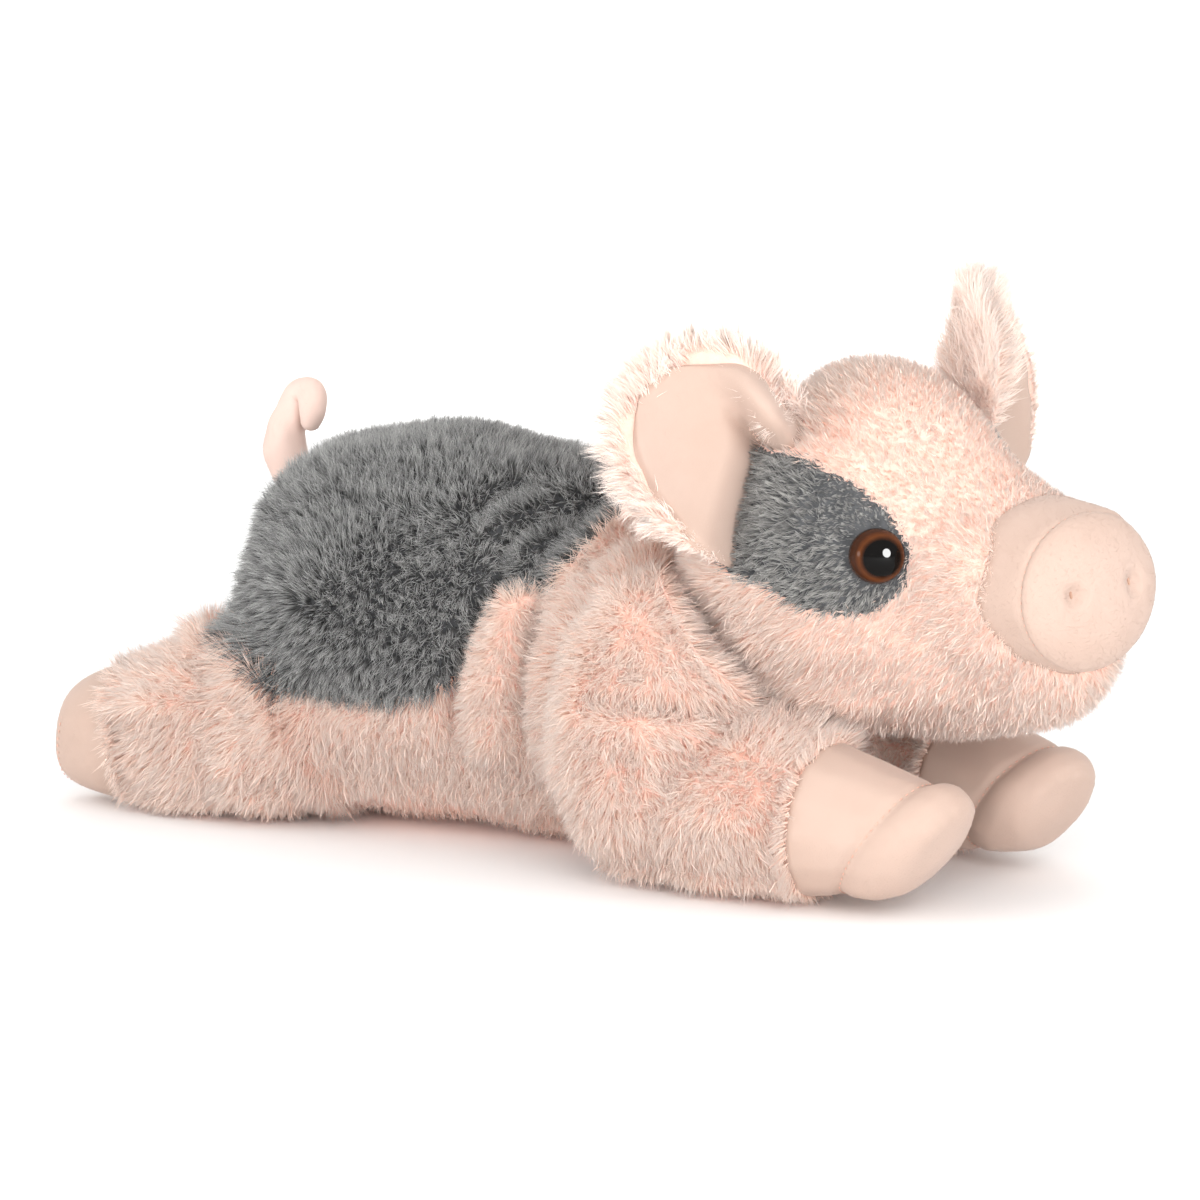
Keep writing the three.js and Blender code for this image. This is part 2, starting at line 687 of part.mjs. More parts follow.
function makeEye(name, side) {
  const place = eyePlace(side);
  const radius = EYE_DIAMETER / 2;
  const stemEnd = -EYE_STEM_LENGTH;
  const stem = (grow) => [
    [0, stemEnd - grow], [EYE_STEM_RADIUS + grow, stemEnd - grow], [EYE_STEM_RADIUS + grow, EYE_BACK / 2],
  ];
  const core = [
    ...stem(0),
    [radius - GAP, EYE_BACK / 2],
    [radius - GAP, EYE_BACK],
    ...domeProfile(PUPIL_RADIUS, PUPIL_HEIGHT, EYE_BACK),
  ];
  const dome = eyeLathe([
    [0, PUPIL_HEIGHT + EYE_BACK + GAP],
    ...domeProfile(PUPIL_RADIUS + GAP, PUPIL_HEIGHT, EYE_BACK + GAP).reverse().slice(1),
    ...domeProfile(radius, EYE_DOME_HEIGHT, EYE_BACK + GAP),
  ], place);
  const washerTop = -PLUSH - WASHER_SETBACK;
  const washer = eyeLathe([
    [EYE_STEM_RADIUS + GAP, washerTop - WASHER_THICKNESS],
    [WASHER_RADIUS, washerTop - WASHER_THICKNESS],
    [WASHER_RADIUS, washerTop],
    [EYE_STEM_RADIUS + GAP, washerTop],
    [EYE_STEM_RADIUS + GAP, washerTop - WASHER_THICKNESS],
  ], place);
  const seat = eyeLathe([
    [0, stemEnd - GAP],
    [EYE_STEM_RADIUS + GAP, stemEnd - GAP],
    [EYE_STEM_RADIUS + GAP, washerTop - WASHER_THICKNESS - GAP],
    [WASHER_RADIUS + GAP, washerTop - WASHER_THICKNESS - GAP],
    [WASHER_RADIUS + GAP, washerTop + GAP],
    [EYE_STEM_RADIUS + GAP, washerTop + GAP],
    [EYE_STEM_RADIUS + GAP, EYE_BACK / 2 - GAP],
    [radius, EYE_BACK / 2 - GAP],
    [radius + GAP, EYE_DOME_HEIGHT + CUTTER_OVERRUN],
    [0, EYE_DOME_HEIGHT + CUTTER_OVERRUN],
  ], place);
  return {
    seat,
    pieces: {
      [`${name}_dome`]: [dome, EYE_BROWN],
      [`${name}_stem`]: [eyeLathe(core, place), EYE_BLACK],
      [`${name}_washer`]: [washer, WASHER_WHITE],
    },
  };
}

// A cupped leaf: rows run from its base to its tip, and its front faces the way the cup opens
function leafForm({ length, halfWidth, back, front }) {
  const widest = EAR_WIDEST_SHARE * length;
  const rim = (distance) => {
    const away = distance < widest ? (widest - distance) / widest : (distance - widest) / (length - widest);
    return distance < widest
      ? halfWidth * (1 - (1 - EAR_BASE_SHARE) * away ** 2)
      : halfWidth * Math.sqrt(Math.max(0, 1 - away ** 2));
  };
  const rows = [];
  for (let step = 0; step <= SHEET_ROWS; step += 1) {
    const distance = length * Math.sin(radians(90) * step / SHEET_ROWS);
    const edge = rim(distance);
    const point = (column, height) => {
      const across = edge * (2 * column / SHEET_COLUMNS - 1);
      return new THREE.Vector3(across, distance, EAR_CUP * (across / EAR_HALF_WIDTH) ** 2 + height);
    };
    const columns = Array.from({ length: SHEET_COLUMNS + 1 }, (unused, column) => column);
    rows.push([
      ...columns.map((column) => point(column, front)),
      ...columns.reverse().map((column) => point(column, back)),
    ]);
  }
  const pinched = (row) => row.map((point, place) => point.clone().lerp(row.at(-1 - place), 0.5));
  return rowsGeometry([pinched(rows[0]), ...rows, pinched(rows.at(-1))]);
}

function earPlace({ ahead, side, rise, pointing, facing }) {
  const along = new THREE.Vector3(...pointing).normalize();
  const front = new THREE.Vector3(...facing);
  front.addScaledVector(along, -front.dot(along)).normalize();
  const across = new THREE.Vector3().crossVectors(along, front);
  return new THREE.Matrix4().makeBasis(across, along, front)
    .setPosition(new THREE.Vector3(ahead, side, rise).addScaledVector(along, -EAR_ROOT_DEPTH));
}

const ears = [
  {
    name: 'ear_right',
    ahead: RIGHT_EAR_AHEAD,
    side: -RIGHT_EAR_SIDE,
    rise: RIGHT_EAR_RISE,
    pointing: rightEarPointing,
    facing: rightEarFacing,
  },
  {
    name: 'ear_left',
    ahead: LEFT_EAR_AHEAD,
    side: LEFT_EAR_SIDE,
    rise: LEFT_EAR_RISE,
    pointing: leftEarPointing,
    facing: leftEarFacing,
  },
];

// An ear is cut by the head as the head meets it while the ear flaps about its seam
function makeEar(ear) {
  const place = earPlace(ear);
  const across = new THREE.Vector3().setFromMatrixColumn(place, 0);
  const pivot = new THREE.Vector3(ear.ahead, ear.side, ear.rise);
  const head = smoothHead(GAP);
  const met = joined([-EAR_FLAP_BACK, 0, EAR_FLAP_FORWARD].map(
    (angle) => solidOf(turnedAbout(head, pivot, across, -angle)),
  ));
  const leaf = (inset, back, front) => solidOf(leafForm({
    length: EAR_LENGTH + EAR_ROOT_DEPTH - inset,
    halfWidth: EAR_HALF_WIDTH - inset,
    back,
    front,
  }).applyMatrix4(place));
  return {
    [`${ear.name}_back`]: [leaf(0, -PLUSH - EAR_LAYER_GAP, -EAR_LAYER_GAP).subtract(met), PINK_PLUSH],
    [`${ear.name}_lining`]: [leaf(EAR_RIM, 0, VELOUR).subtract(met), PINK_VELOUR],
  };
}

function makeHead() {
  const neck = solidOf(neckSocket.clone().applyMatrix4(intoHead));
  const eyes = [makeEye('eye_right', -1), makeEye('eye_left', 1)];
  const seats = eyes.map((eye) => eye.seat);
  const snoutHole = solidOf(snoutLathe([
    [snoutRoot, 0],
    [snoutRoot, SNOUT_SEAM_RADIUS - VELOUR],
    [SNOUT_SEAM_AHEAD, SNOUT_SEAM_RADIUS - VELOUR],
    [SNOUT_SEAM_AHEAD, SNOUT_SEAM_RADIUS + GAP],
    [SNOUT_SEAM_AHEAD + SNOUT_DOME, SNOUT_SEAM_RADIUS + GAP],
    [SNOUT_SEAM_AHEAD + SNOUT_DOME, 0],
  ]));
  const headInner = solidOf(plainHead(-PLUSH));
  const cloth = cutBy(solidOf(smoothHead(0)), [headInner, neck, snoutHole, ...seats]);
  const patch = (side, grow) => solidOf(patchGeometry(side, grow));
  const pieces = {
    head_skin: [cutBy(cloth, [patch(-1, GAP), patch(1, GAP)]), PINK_PLUSH],
    eye_patch_right: [cloth.intersect(patch(-1, 0)), GREY_PLUSH],
    eye_patch_left: [cloth.intersect(patch(1, 0)), GREY_PLUSH],
  };
  const face = solidOf(smoothHead(GAP));
  const wall = solidOf(snoutLathe([
    [snoutRoot, SNOUT_BASE_RADIUS - VELOUR],
    [snoutRoot, SNOUT_BASE_RADIUS],
    ...snoutWallProfile(0),
    ...snoutWallProfile(VELOUR).reverse(),
    [snoutRoot, SNOUT_BASE_RADIUS - VELOUR],
  ]));
  const disc = solidOf(snoutLathe([
    ...snoutDomeProfile(SNOUT_SEAM_AHEAD + GAP, VELOUR).reverse(),
    ...snoutDomeProfile(SNOUT_SEAM_AHEAD + GAP, 0),
  ]));
  const dimples = [-1, 1].map((side) => solidOf(intoSnout(
    ballForm(1, new THREE.Vector3()).scale(NOSTRIL_DEPTH, NOSTRIL_RADIUS, NOSTRIL_RADIUS)
      .translate(...nostrilPlace(side, 0).toArray()),
  )));
  const stitch = (side) => solidOf(intoSnout(
    new THREE.CapsuleGeometry(STITCH_RADIUS, 2 * STITCH_HALF_LENGTH, STITCH_CAP_RINGS, STITCH_SIDES)
      .rotateX(radians(90))
      .translate(...nostrilPlace(side, NOSTRIL_DEPTH - GAP - STITCH_RADIUS).toArray()),
  ));
  pieces.snout_wall = [wall.subtract(face), PINK_VELOUR];
  pieces.snout_disc = [cutBy(disc, dimples), PINK_VELOUR];
  pieces.nostril_stitch_right = [stitch(-1), THREAD];
  pieces.nostril_stitch_left = [stitch(1), THREAD];
  pieces.head_stuffing = [
    cutBy(solidOf(plainHead(-PLUSH - GAP)), [neck, ...seats]), STUFFING,
  ];
  for (const eye of eyes) Object.assign(pieces, eye.pieces);
  return pieces;
}

function makeTail() {
  const route = tailRouteShares.map(([across, up]) => new THREE.Vector3(
    across * TAIL_CURL_WIDTH,
    0,
    up * TAIL_HEIGHT,
  ).applyAxisAngle(UP, radians(TAIL_CURL_TURN)).add(tailRoot));
  const section = new THREE.Shape().absarc(0, 0, TAIL_RADIUS, 0, 2 * Math.PI);
  const tube = new THREE.ExtrudeGeometry(section, {
    extrudePath: new THREE.CatmullRomCurve3(route),
    steps: ROUND_SEGMENTS,
    curveSegments: 5,
  });
  return joined([solidOf(tube), solidOf(ballForm(TAIL_RADIUS, tailRoot))]);
}

// Gives a solid, made in world places, to a group that already has a place of its own
function addPieces(group, pieces, place = new THREE.Matrix4()) {
  group.updateMatrixWorld(true);
  const toGroup = group.matrixWorld.clone().invert().multiply(place);
  for (const [name, [solid, finish]] of Object.entries(pieces)) {
    const geometry = geometryOf(solid).applyMatrix4(toGroup);
    const mesh = new THREE.Mesh(geometry, new THREE.MeshStandardMaterial(finish));
    mesh.name = name;
    group.add(mesh);
  }
}

const pig = new THREE.Group();
addPieces(pig, makeTorso());

for (const leg of legs) {
  const hip = new THREE.Group();
  hip.position.set(...leg.root, 0);
  pig.add(hip);
  addPieces(hip, makeLeg(leg));
}

const neckGroup = new THREE.Group();
neckGroup.position.copy(neckPivot);
pig.add(neckGroup);
addPieces(neckGroup, { neck_core: [solidOf(ballForm(NECK_RADIUS, neckPivot)), STUFFING] });

const headGroup = new THREE.Group();
headGroup.applyMatrix4(headPlace);
headGroup.position.sub(neckPivot);
neckGroup.add(headGroup);
addPieces(headGroup, makeHead(), headPlace);
for (const ear of ears) addPieces(headGroup, makeEar(ear), headPlace);

const tailGroup = new THREE.Group();
tailGroup.position.copy(tailRoot);
pig.add(tailGroup);
addPieces(tailGroup, { tail: [makeTail(), PINK_VELOUR] });

export default pig;
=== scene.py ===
import math

import bpy
import numpy as np
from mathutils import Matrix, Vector
from mathutils.bvhtree import BVHTree


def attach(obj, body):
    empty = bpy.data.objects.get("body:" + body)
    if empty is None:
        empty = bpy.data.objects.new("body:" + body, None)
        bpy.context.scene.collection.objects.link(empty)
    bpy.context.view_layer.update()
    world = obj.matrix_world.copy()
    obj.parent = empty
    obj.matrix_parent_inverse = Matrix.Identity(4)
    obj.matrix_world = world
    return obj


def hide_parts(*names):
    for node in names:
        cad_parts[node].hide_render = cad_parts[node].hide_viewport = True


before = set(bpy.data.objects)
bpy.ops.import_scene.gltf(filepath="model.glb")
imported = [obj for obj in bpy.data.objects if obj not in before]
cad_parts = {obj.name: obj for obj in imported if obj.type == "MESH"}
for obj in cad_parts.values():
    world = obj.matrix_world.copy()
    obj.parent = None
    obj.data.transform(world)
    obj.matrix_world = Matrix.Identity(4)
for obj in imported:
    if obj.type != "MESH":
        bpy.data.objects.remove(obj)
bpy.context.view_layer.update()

# A plush pig over its CAD solids. Lengths are in millimetres, and turn into metres where a mesh is made.
MM = 0.001
# A body that isn't near counts as far away
NEAR, FAR = 12.0, 99.0
scene = bpy.context.scene


# Small helpers
def vec(*values):
    return np.array(values, float)


def unit(v):
    return v / np.maximum(np.linalg.norm(v, axis=-1, keepdims=True), 1e-9)


def smooth(x, a, b):
    """A soft step from 0 at a to 1 at b."""
    t = np.clip((x - a) / (b - a), 0, 1)
    return t * t * (3 - 2 * t)


def bell(x, width):
    """A soft hill that is 1 at zero."""
    return np.exp(-((x / width) ** 2))


def bump(points, place, radius):
    return bell(np.linalg.norm(points - vec(*place), axis=1), radius)


def turn(axis, degrees):
    a = math.radians(degrees)
    c, s = math.cos(a), math.sin(a)
    x, y, z = axis
    k = np.array([[0, -z, y], [z, 0, -x], [-y, x, 0]])
    return np.eye(3) + s * k + (1 - c) * (k @ k)


def in_skin(v, normal):
    """The part of each vector that lies across its normal."""
    return v - normal * (v * normal).sum(1, keepdims=True)


def flat_places(first, second):
    """Places in a plane, as points."""
    return np.stack([first, 0 * first, second], 1)


def way_along(line):
    return np.concatenate([[0], np.cumsum(np.linalg.norm(np.diff(line, axis=0), axis=1))])


def line_distance(points, line):
    """Distance to a line of points, and the share of the way along it."""
    line = np.asarray(line, float)
    best = np.full(len(points), 1e9)
    along = np.zeros(len(points))
    for i in range(len(line) - 1):
        a, b = line[i], line[i + 1]
        t = np.clip(((points - a) @ (b - a)) / ((b - a) @ (b - a)), 0, 1)
        d = np.linalg.norm(points - a - t[:, None] * (b - a), axis=1)
        closer = d < best
        best[closer] = d[closer]
        along[closer] = (i + t[closer]) / (len(line) - 1)
    return best, along


def wave(points, size, seed, channels=1):
    """Smooth random values, about -1 to 1, that change over this size."""
    rng = np.random.default_rng(seed)
    out = np.zeros((len(points), channels))
    for c in range(channels):
        for _ in range(7):
            k = unit(rng.normal(size=3)) * rng.uniform(0.6, 1.5) * 2 * math.pi / size
            out[:, c] += np.sin(points @ k + rng.uniform(0, 2 * math.pi))
    return (out if channels > 1 else out[:, 0]) / 2.6


def angles(count):
    return 2 * math.pi * np.arange(count) / count


def circle(centre, x, y, radius, count):
    a = angles(count)[:, None]
    return centre + radius * (np.cos(a) * x + np.sin(a) * y)


def round_quads(rings, sides):
    """Quads between closed rings of points."""
    grid = np.arange(rings * sides).reshape(rings, sides)
    after = np.roll(grid, -1, 1)
    return np.stack([grid[:-1], after[:-1], after[1:], grid[1:]], -1).reshape(-1, 4)


def sheet_quads(grid):
    """Quads of an open sheet from the numbers of its points."""
    return np.stack([grid[:-1, :-1], grid[:-1, 1:], grid[1:, 1:], grid[1:, :-1]], -1).reshape(-1, 4)


# Base forms
def coordinates(mesh):
    co = np.empty(len(mesh.vertices) * 3, np.float32)
    mesh.vertices.foreach_get("co", co)
    return co.reshape(-1, 3).astype(float)


def gather(names):
    """The points and triangles of these CAD nodes."""
    points, faces, first = [], [], 0
    for name in names:
        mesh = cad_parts[name].data
        mesh.calc_loop_triangles()
        tri = np.empty(len(mesh.loop_triangles) * 3, np.int32)
        mesh.loop_triangles.foreach_get("vertices", tri)
        points.append(coordinates(mesh) / MM)
        faces.append(tri.reshape(-1, 3) + first)
        first += len(points[-1])
    return np.concatenate(points), np.concatenate(faces)


def quad_sides(quads):
    return np.concatenate([quads[:, [k, (k + 1) % 4]] for k in range(4)])


def largest(points, quads):
    """The connected form with the most points."""
    label = np.arange(len(points))
    pairs = quad_sides(quads)
    while True:
        lower = np.minimum(label[pairs[:, 0]], label[pairs[:, 1]])
        new = label.copy()
        np.minimum.at(new, pairs[:, 0], lower)
        np.minimum.at(new, pairs[:, 1], lower)
        new = new[new]
        if (new == label).all():
            break
        label = new
    values, counts = np.unique(label, return_counts=True)
    keep = label == values[counts.argmax()]
    place = np.cumsum(keep) - 1
    return points[keep], place[quads[keep[quads[:, 0]]]]


class Form:
    """A skin of quads with its normals."""

    def __init__(self, points, quads):
        self.points, self.quads = points, quads
        self.pairs = np.unique(np.sort(quad_sides(quads), axis=1), axis=0)
        self.degree = np.bincount(self.pairs.ravel(), minlength=len(points))
        self.refresh()

    def refresh(self):
        p, q = self.points, self.quads
        face = np.cross(p[q[:, 2]] - p[q[:, 0]], p[q[:, 3]] - p[q[:, 1]])
        normal = np.zeros_like(p)
        for axis in range(3):
            for corner in range(4):
                normal[:, axis] += np.bincount(q[:, corner], face[:, axis], len(p))
        self.normals = unit(normal)

    def around(self, values):
        """The mean over each point's neighbours."""
        if values.ndim == 2:
            return np.stack([self.around(channel) for channel in values.T], 1)
        a, b = self.pairs.T
        total = np.bincount(a, values[b], len(values)) + np.bincount(b, values[a], len(values))
        return total / self.degree

    def smoothen(self, rounds):
        for _ in range(rounds):
            self.points = self.points + 0.5 * (self.around(self.points) - self.points)
        self.refresh()

    def spread(self, values, rounds):
        """Evens out values over the skin."""
        for _ in range(rounds):
            values = 0.5 * values + 0.5 * self.around(values)
        return values

    def push(self, amount):
        self.points = self.points + self.normals * amount[:, None]
        self.refresh()

    def tree(self):
        return BVHTree.FromPolygons(self.points.tolist(), self.quads.tolist())

    def underside(self, low, over):
        """1 where the skin faces the table from close by."""
        return smooth(-self.normals[:, 2], 0.5, 0.9) * smooth(low - self.points[:, 2], 0, over)


def remeshed(names, voxel, rounds):
    """One skin round these CAD nodes, in even quads."""
    points, faces = gather(names)
    mesh = bpy.data.meshes.new("scratch")
    mesh.from_pydata(points.tolist(), [], faces.tolist())
    obj = bpy.data.objects.new("scratch", mesh)
    scene.collection.objects.link(obj)
    mod = obj.modifiers.new("Remesh", "REMESH")
    mod.mode = "VOXEL"
    mod.voxel_size = voxel
    done = obj.evaluated_get(bpy.context.evaluated_depsgraph_get())
    result = done.to_mesh()
    points = coordinates(result)
    quads = np.empty(len(result.polygons) * 4, np.int32)
    result.polygons.foreach_get("vertices", quads)
    done.to_mesh_clear()
    bpy.data.objects.remove(obj)
    bpy.data.meshes.remove(mesh)
    form = Form(*largest(points, quads.reshape(-1, 4)))
    form.smoothen(rounds)
    return form


CAP = (0.03, 0.35, 0.65, 0.88)


def tube(route, sides, steps):
    """A closed round form along a route of places and radii."""
    route = np.array(route, float)
    way = way_along(route[:, :3])
    s = np.linspace(0, way[-1], steps)
    line = np.stack([np.interp(s, way, route[:, k]) for k in range(4)], 1)
    for _ in range(6):
        line[1:-1] = 0.5 * line[1:-1] + 0.25 * (line[:-2] + line[2:])
    place, radius = line[:, :3], line[:, 3]
    step = unit(np.gradient(place, axis=0))

    def cap(end, sign, shares):
        for t in shares:
            beyond = sign * radius[end] * math.sqrt(1 - t * t)
            yield place[end] + step[end] * beyond, step[end], radius[end] * t

    stops = [*cap(0, -1, CAP), *zip(place, step, radius), *cap(-1, 1, CAP[::-1])]
    x = unit(np.cross(step[0], vec(0.2, 1, 0.1)))
    rings = []
    for centre, ahead, r in stops:
        x = unit(x - ahead * (x @ ahead))
        rings.append(circle(centre, x, np.cross(ahead, x), r, sides))
    return Form(np.concatenate(rings), round_quads(len(rings), sides))


def clear_of(form, tree):
    """How far each point of a form is outside another form, below zero inside it."""
    out = np.full(len(form.points), FAR)
    for i, p in enumerate(form.points.tolist()):
        place, normal, _, distance = tree.find_nearest(Vector(p), NEAR)
        if place is not None:
            inside = (Vector(p) - place).dot(normal) < 0
            out[i] = -distance if inside else distance
    return out


# Meshes and materials
def mesh_object(name, points, faces, materials, uv=None, face_slots=None):
    """A Blender object from arrays; faces is an array of triangles or of quads."""
    mesh = bpy.data.meshes.new(name)
    mesh.vertices.add(len(points))
    mesh.vertices.foreach_set("co", (points * MM).astype(np.float32).ravel())
    mesh.loops.add(faces.size)
    mesh.loops.foreach_set("vertex_index", faces.astype(np.int32).ravel())
    mesh.polygons.add(len(faces))
    mesh.polygons.foreach_set("loop_start", np.arange(0, faces.size, faces.shape[1], dtype=np.int32))
    if uv is not None:
        layer = mesh.uv_layers.new(name="OFBake")
        layer.uv.foreach_set("vector", uv.astype(np.float32).ravel())
    for mat in materials:
        mesh.materials.append(mat)
    if face_slots is not None:
        mesh.polygons.foreach_set("material_index", face_slots.astype(np.int32))
    mesh.update(calc_edges=True)
    mesh.validate()
    mesh.shade_smooth()
    obj = bpy.data.objects.new(name, mesh)
    scene.collection.objects.link(obj)
    return obj


def piece(name, body, slot, points, faces, mats, stands_for=(), **more):
    """A shown piece, tied to its body, which hides the CAD nodes that it stands for; its material slot is not
    used.
    """
    obj = mesh_object(name, points, faces, mats, **more)
    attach(obj, body)
    if stands_for:
        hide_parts(*stands_for)
    return obj


def padded_skin(name, body, slot, form, mats, stands_for, **more):
    piece(name, body, slot, form.points, form.quads, mats, stands_for, **more)


def rgb(*values):
    """An sRGB colour in 0 to 255 as linear values with alpha."""
    v = np.array(values) / 255
    return (*np.where(v <= 0.04045, v / 12.92, ((v + 0.055) / 1.055) ** 2.4), 1.0)


def shades(*rows):
    """Rows of a ramp, each from a place and an sRGB colour."""
    return [(place, rgb(*colour)) for place, *colour in rows]


def tints(*rows):
    """Rows of a ramp, each from a place and the shares of red, green and blue that it lets through."""
    return [(place, (*shares, 1)) for place, *shares in rows]


def set_inputs(node, values):
    for name, value in values.items():
        node.inputs[name].default_value = value


def material(name, roughness, sheen, specular):
    mat = bpy.data.materials.new(name)
    mat.use_nodes = True
    shader = mat.node_tree.nodes["Principled BSDF"]
    set_inputs(shader, {"Roughness": roughness, "Specular IOR Level": specular, "Sheen Weight": sheen,
                        "Sheen Roughness": 0.5})
    return mat, mat.node_tree, shader


def plain_material(name, colour, roughness, specular):
    mat, _, shader = material(name, roughness, 0.0, specular)
    set_inputs(shader, {"Base Color": colour})
    return mat


def ramp(tree, value, rows):
    """A colour ramp over a value."""
    node = tree.nodes.new("ShaderNodeValToRGB")
    elements = node.color_ramp.elements
    while len(elements) < len(rows):
        elements.new(0.5)
    for element, (place, colour) in zip(elements, rows):
        element.position = place
        element.color = colour
    tree.links.new(value, node.inputs["Fac"])
    return node.outputs["Color"]


def noise(tree, scale, detail):
    """Noise in the object's own space."""
    coords = tree.nodes.new("ShaderNodeTexCoord")
    node = tree.nodes.new("ShaderNodeTexNoise")
    set_inputs(node, {"Scale": scale, "Detail": detail})
    tree.links.new(coords.outputs["Object"], node.inputs["Vector"])
    return node.outputs["Fac"]


def multiply(tree, first, second, target):
    """Two colours, multiplied into a socket."""
    mix = tree.nodes.new("ShaderNodeMix")
    mix.data_type = "RGBA"
    mix.blend_type = "MULTIPLY"
    set_inputs(mix, {"Factor": 1.0})
    tree.links.new(first, mix.inputs["A"])
    tree.links.new(second, mix.inputs["B"])
    tree.links.new(mix.outputs["Result"], target)


def fur_material(name, rows, tones, sheen):
    """Colour from root to tip, with painted shade at the roots and a painted highlight at the tips, and a
    tone for each lock, lowered by painted shade in folds, from the strands' own map.
    """
    mat, tree, shader = material(name, 0.9, sheen, 0.15)
    uv = tree.nodes.new("ShaderNodeUVMap")
    uv.uv_map = "OFBake"
    split = tree.nodes.new("ShaderNodeSeparateXYZ")
    tree.links.new(uv.outputs["UV"], split.inputs[0])
    along = ramp(tree, split.outputs["Y"], rows)
    tone = ramp(tree, split.outputs["X"], tones)
    multiply(tree, along, tone, shader.inputs["Base Color"])
    return mat


def cloth_material(name, dark, light, scale, nap_scale, nap_depth, sheen, roughness=0.9):
    """Pile cloth seen close: uneven colour and a fine nap."""
    mat, tree, shader = material(name, roughness, sheen, 0.2)
    colour = ramp(tree, noise(tree, scale, 4.0), shades((0.3, *dark), (0.7, *light)))
    tree.links.new(colour, shader.inputs["Base Color"])
    relief = tree.nodes.new("ShaderNodeBump")
    set_inputs(relief, {"Strength": 0.6, "Distance": nap_depth * MM})
    tree.links.new(noise(tree, nap_scale, 3.0), relief.inputs["Height"])
    tree.links.new(relief.outputs["Normal"], shader.inputs["Normal"])
    return mat


# From root to tip: the darker roots are painted shade of the pile's depth, and the paler tips a painted
# highlight
GREY = shades((0.0, 30, 30, 31), (0.4, 94, 94, 93), (0.78, 182, 182, 180), (1.0, 242, 241, 238))
# The patch's grey is paler than the body's: painted light, for the less shade in its shorter pile
PATCH_GREY = shades((0.0, 84, 83, 82), (0.4, 142, 141, 138), (0.8, 192, 190, 186), (1.0, 228, 226, 221))
PINK = shades((0.0, 244, 211, 196), (0.35, 249, 226, 212), (0.75, 252, 235, 225), (1.0, 254, 243, 235))
EAR_PINK = shades((0.0, 243, 216, 202), (0.4, 249, 233, 223), (1.0, 253, 248, 243))
# The nap is a little paler than its velour: painted light against the shadows of its fine hairs
VELOUR_PINK = shades((0.0, 189, 164, 151), (1.0, 197, 174, 162))
TAIL_PINK = shades((0.0, 220, 193, 182), (1.0, 227, 202, 192))
# From locks darkened by painted shade deep in a fold to locks in the light; the tone also differs at random
# from lock to lock
GREY_TONES = tints((0.0, 0.3, 0.3, 0.31), (0.3, 0.56, 0.56, 0.57), (0.65, 0.92, 0.92, 0.92), (1.0, 1, 1, 1))
PINK_TONES = tints((0.0, 0.86, 0.58, 0.5), (0.2, 0.895, 0.79, 0.745), (0.5, 0.915, 0.88, 0.865),
                   (1.0, 0.94, 0.935, 0.93))
EAR_TONES = tints((0.0, 0.95, 0.9, 0.88), (1.0, 1, 1, 1))
EVEN_TONES = tints((0.0, 0.98, 0.98, 0.98), (1.0, 1, 1, 1))
# Scale of the colour, then scale, depth and sheen of the nap
GROUND = (300, 1500, 0.5, 0.1)
VELOUR = (45, 3600, 0.01, 0.15)
THREAD = (900, 3000, 0.1, 0.1)
grey_fur = fur_material("grey_fur", GREY, GREY_TONES, 0.15)
patch_fur = fur_material("patch_fur", PATCH_GREY, GREY_TONES, 0.15)
pink_fur = fur_material("pink_fur", PINK, PINK_TONES, 0.15)
ear_fur = fur_material("ear_fur", EAR_PINK, EAR_TONES, 0.15)
grey_ground = cloth_material("grey_ground", (62, 63, 65), (90, 91, 93), *GROUND)
pink_ground = cloth_material("pink_ground", (238, 196, 180), (244, 208, 194), *GROUND)
# Salmon cloth of painted shade for the folds
pink_fold = cloth_material("pink_fold", (222, 148, 126), (230, 164, 143), *GROUND)
velour = cloth_material("pink_velour", (185, 160, 146), (191, 167, 154), *VELOUR)
velour_fuzz = fur_material("velour_fuzz", VELOUR_PINK, EVEN_TONES, 0.2)
tail_velour = cloth_material("tail_velour", (216, 188, 176), (222, 196, 185), *VELOUR)
tail_fuzz = fur_material("tail_fuzz", TAIL_PINK, EVEN_TONES, 0.2)
thread = cloth_material("thread", (214, 166, 148), (226, 182, 164), *THREAD, 0.7)
nostril_thread = cloth_material("nostril_thread", (176, 140, 120), (184, 150, 130), *THREAD, 0.8)
wadding = cloth_material("wadding", (238, 236, 231), (250, 249, 246), 200, 900, 0.6, 0.1)


# Fur
def lattice(points, size, seed):
    """The nearest of many scattered places for each point, with four random values of its own."""
    cell = np.floor(points / size)
    best = np.full(len(points), 1e9)
    centre = np.zeros_like(points)
    marks = np.zeros((len(points), 4))
    salts = vec(1, 1.7, 2.3, 3.1, 4.3, 5.9, 7.7)
    for step in np.ndindex(3, 3, 3):
        near = cell + vec(*step) - 1
        number = near @ vec(127.1, 311.7, 74.7) + seed
        values = np.abs(np.sin(np.outer(number, salts)) * 43758.5453) % 1
        place = (near + values[:, :3]) * size
        d = ((points - place) ** 2).sum(1)
        closer = d < best
        best[closer] = d[closer]
        centre[closer] = place[closer]
        marks[closer] = values[closer, 3:]
    return centre, marks * 2 - 1


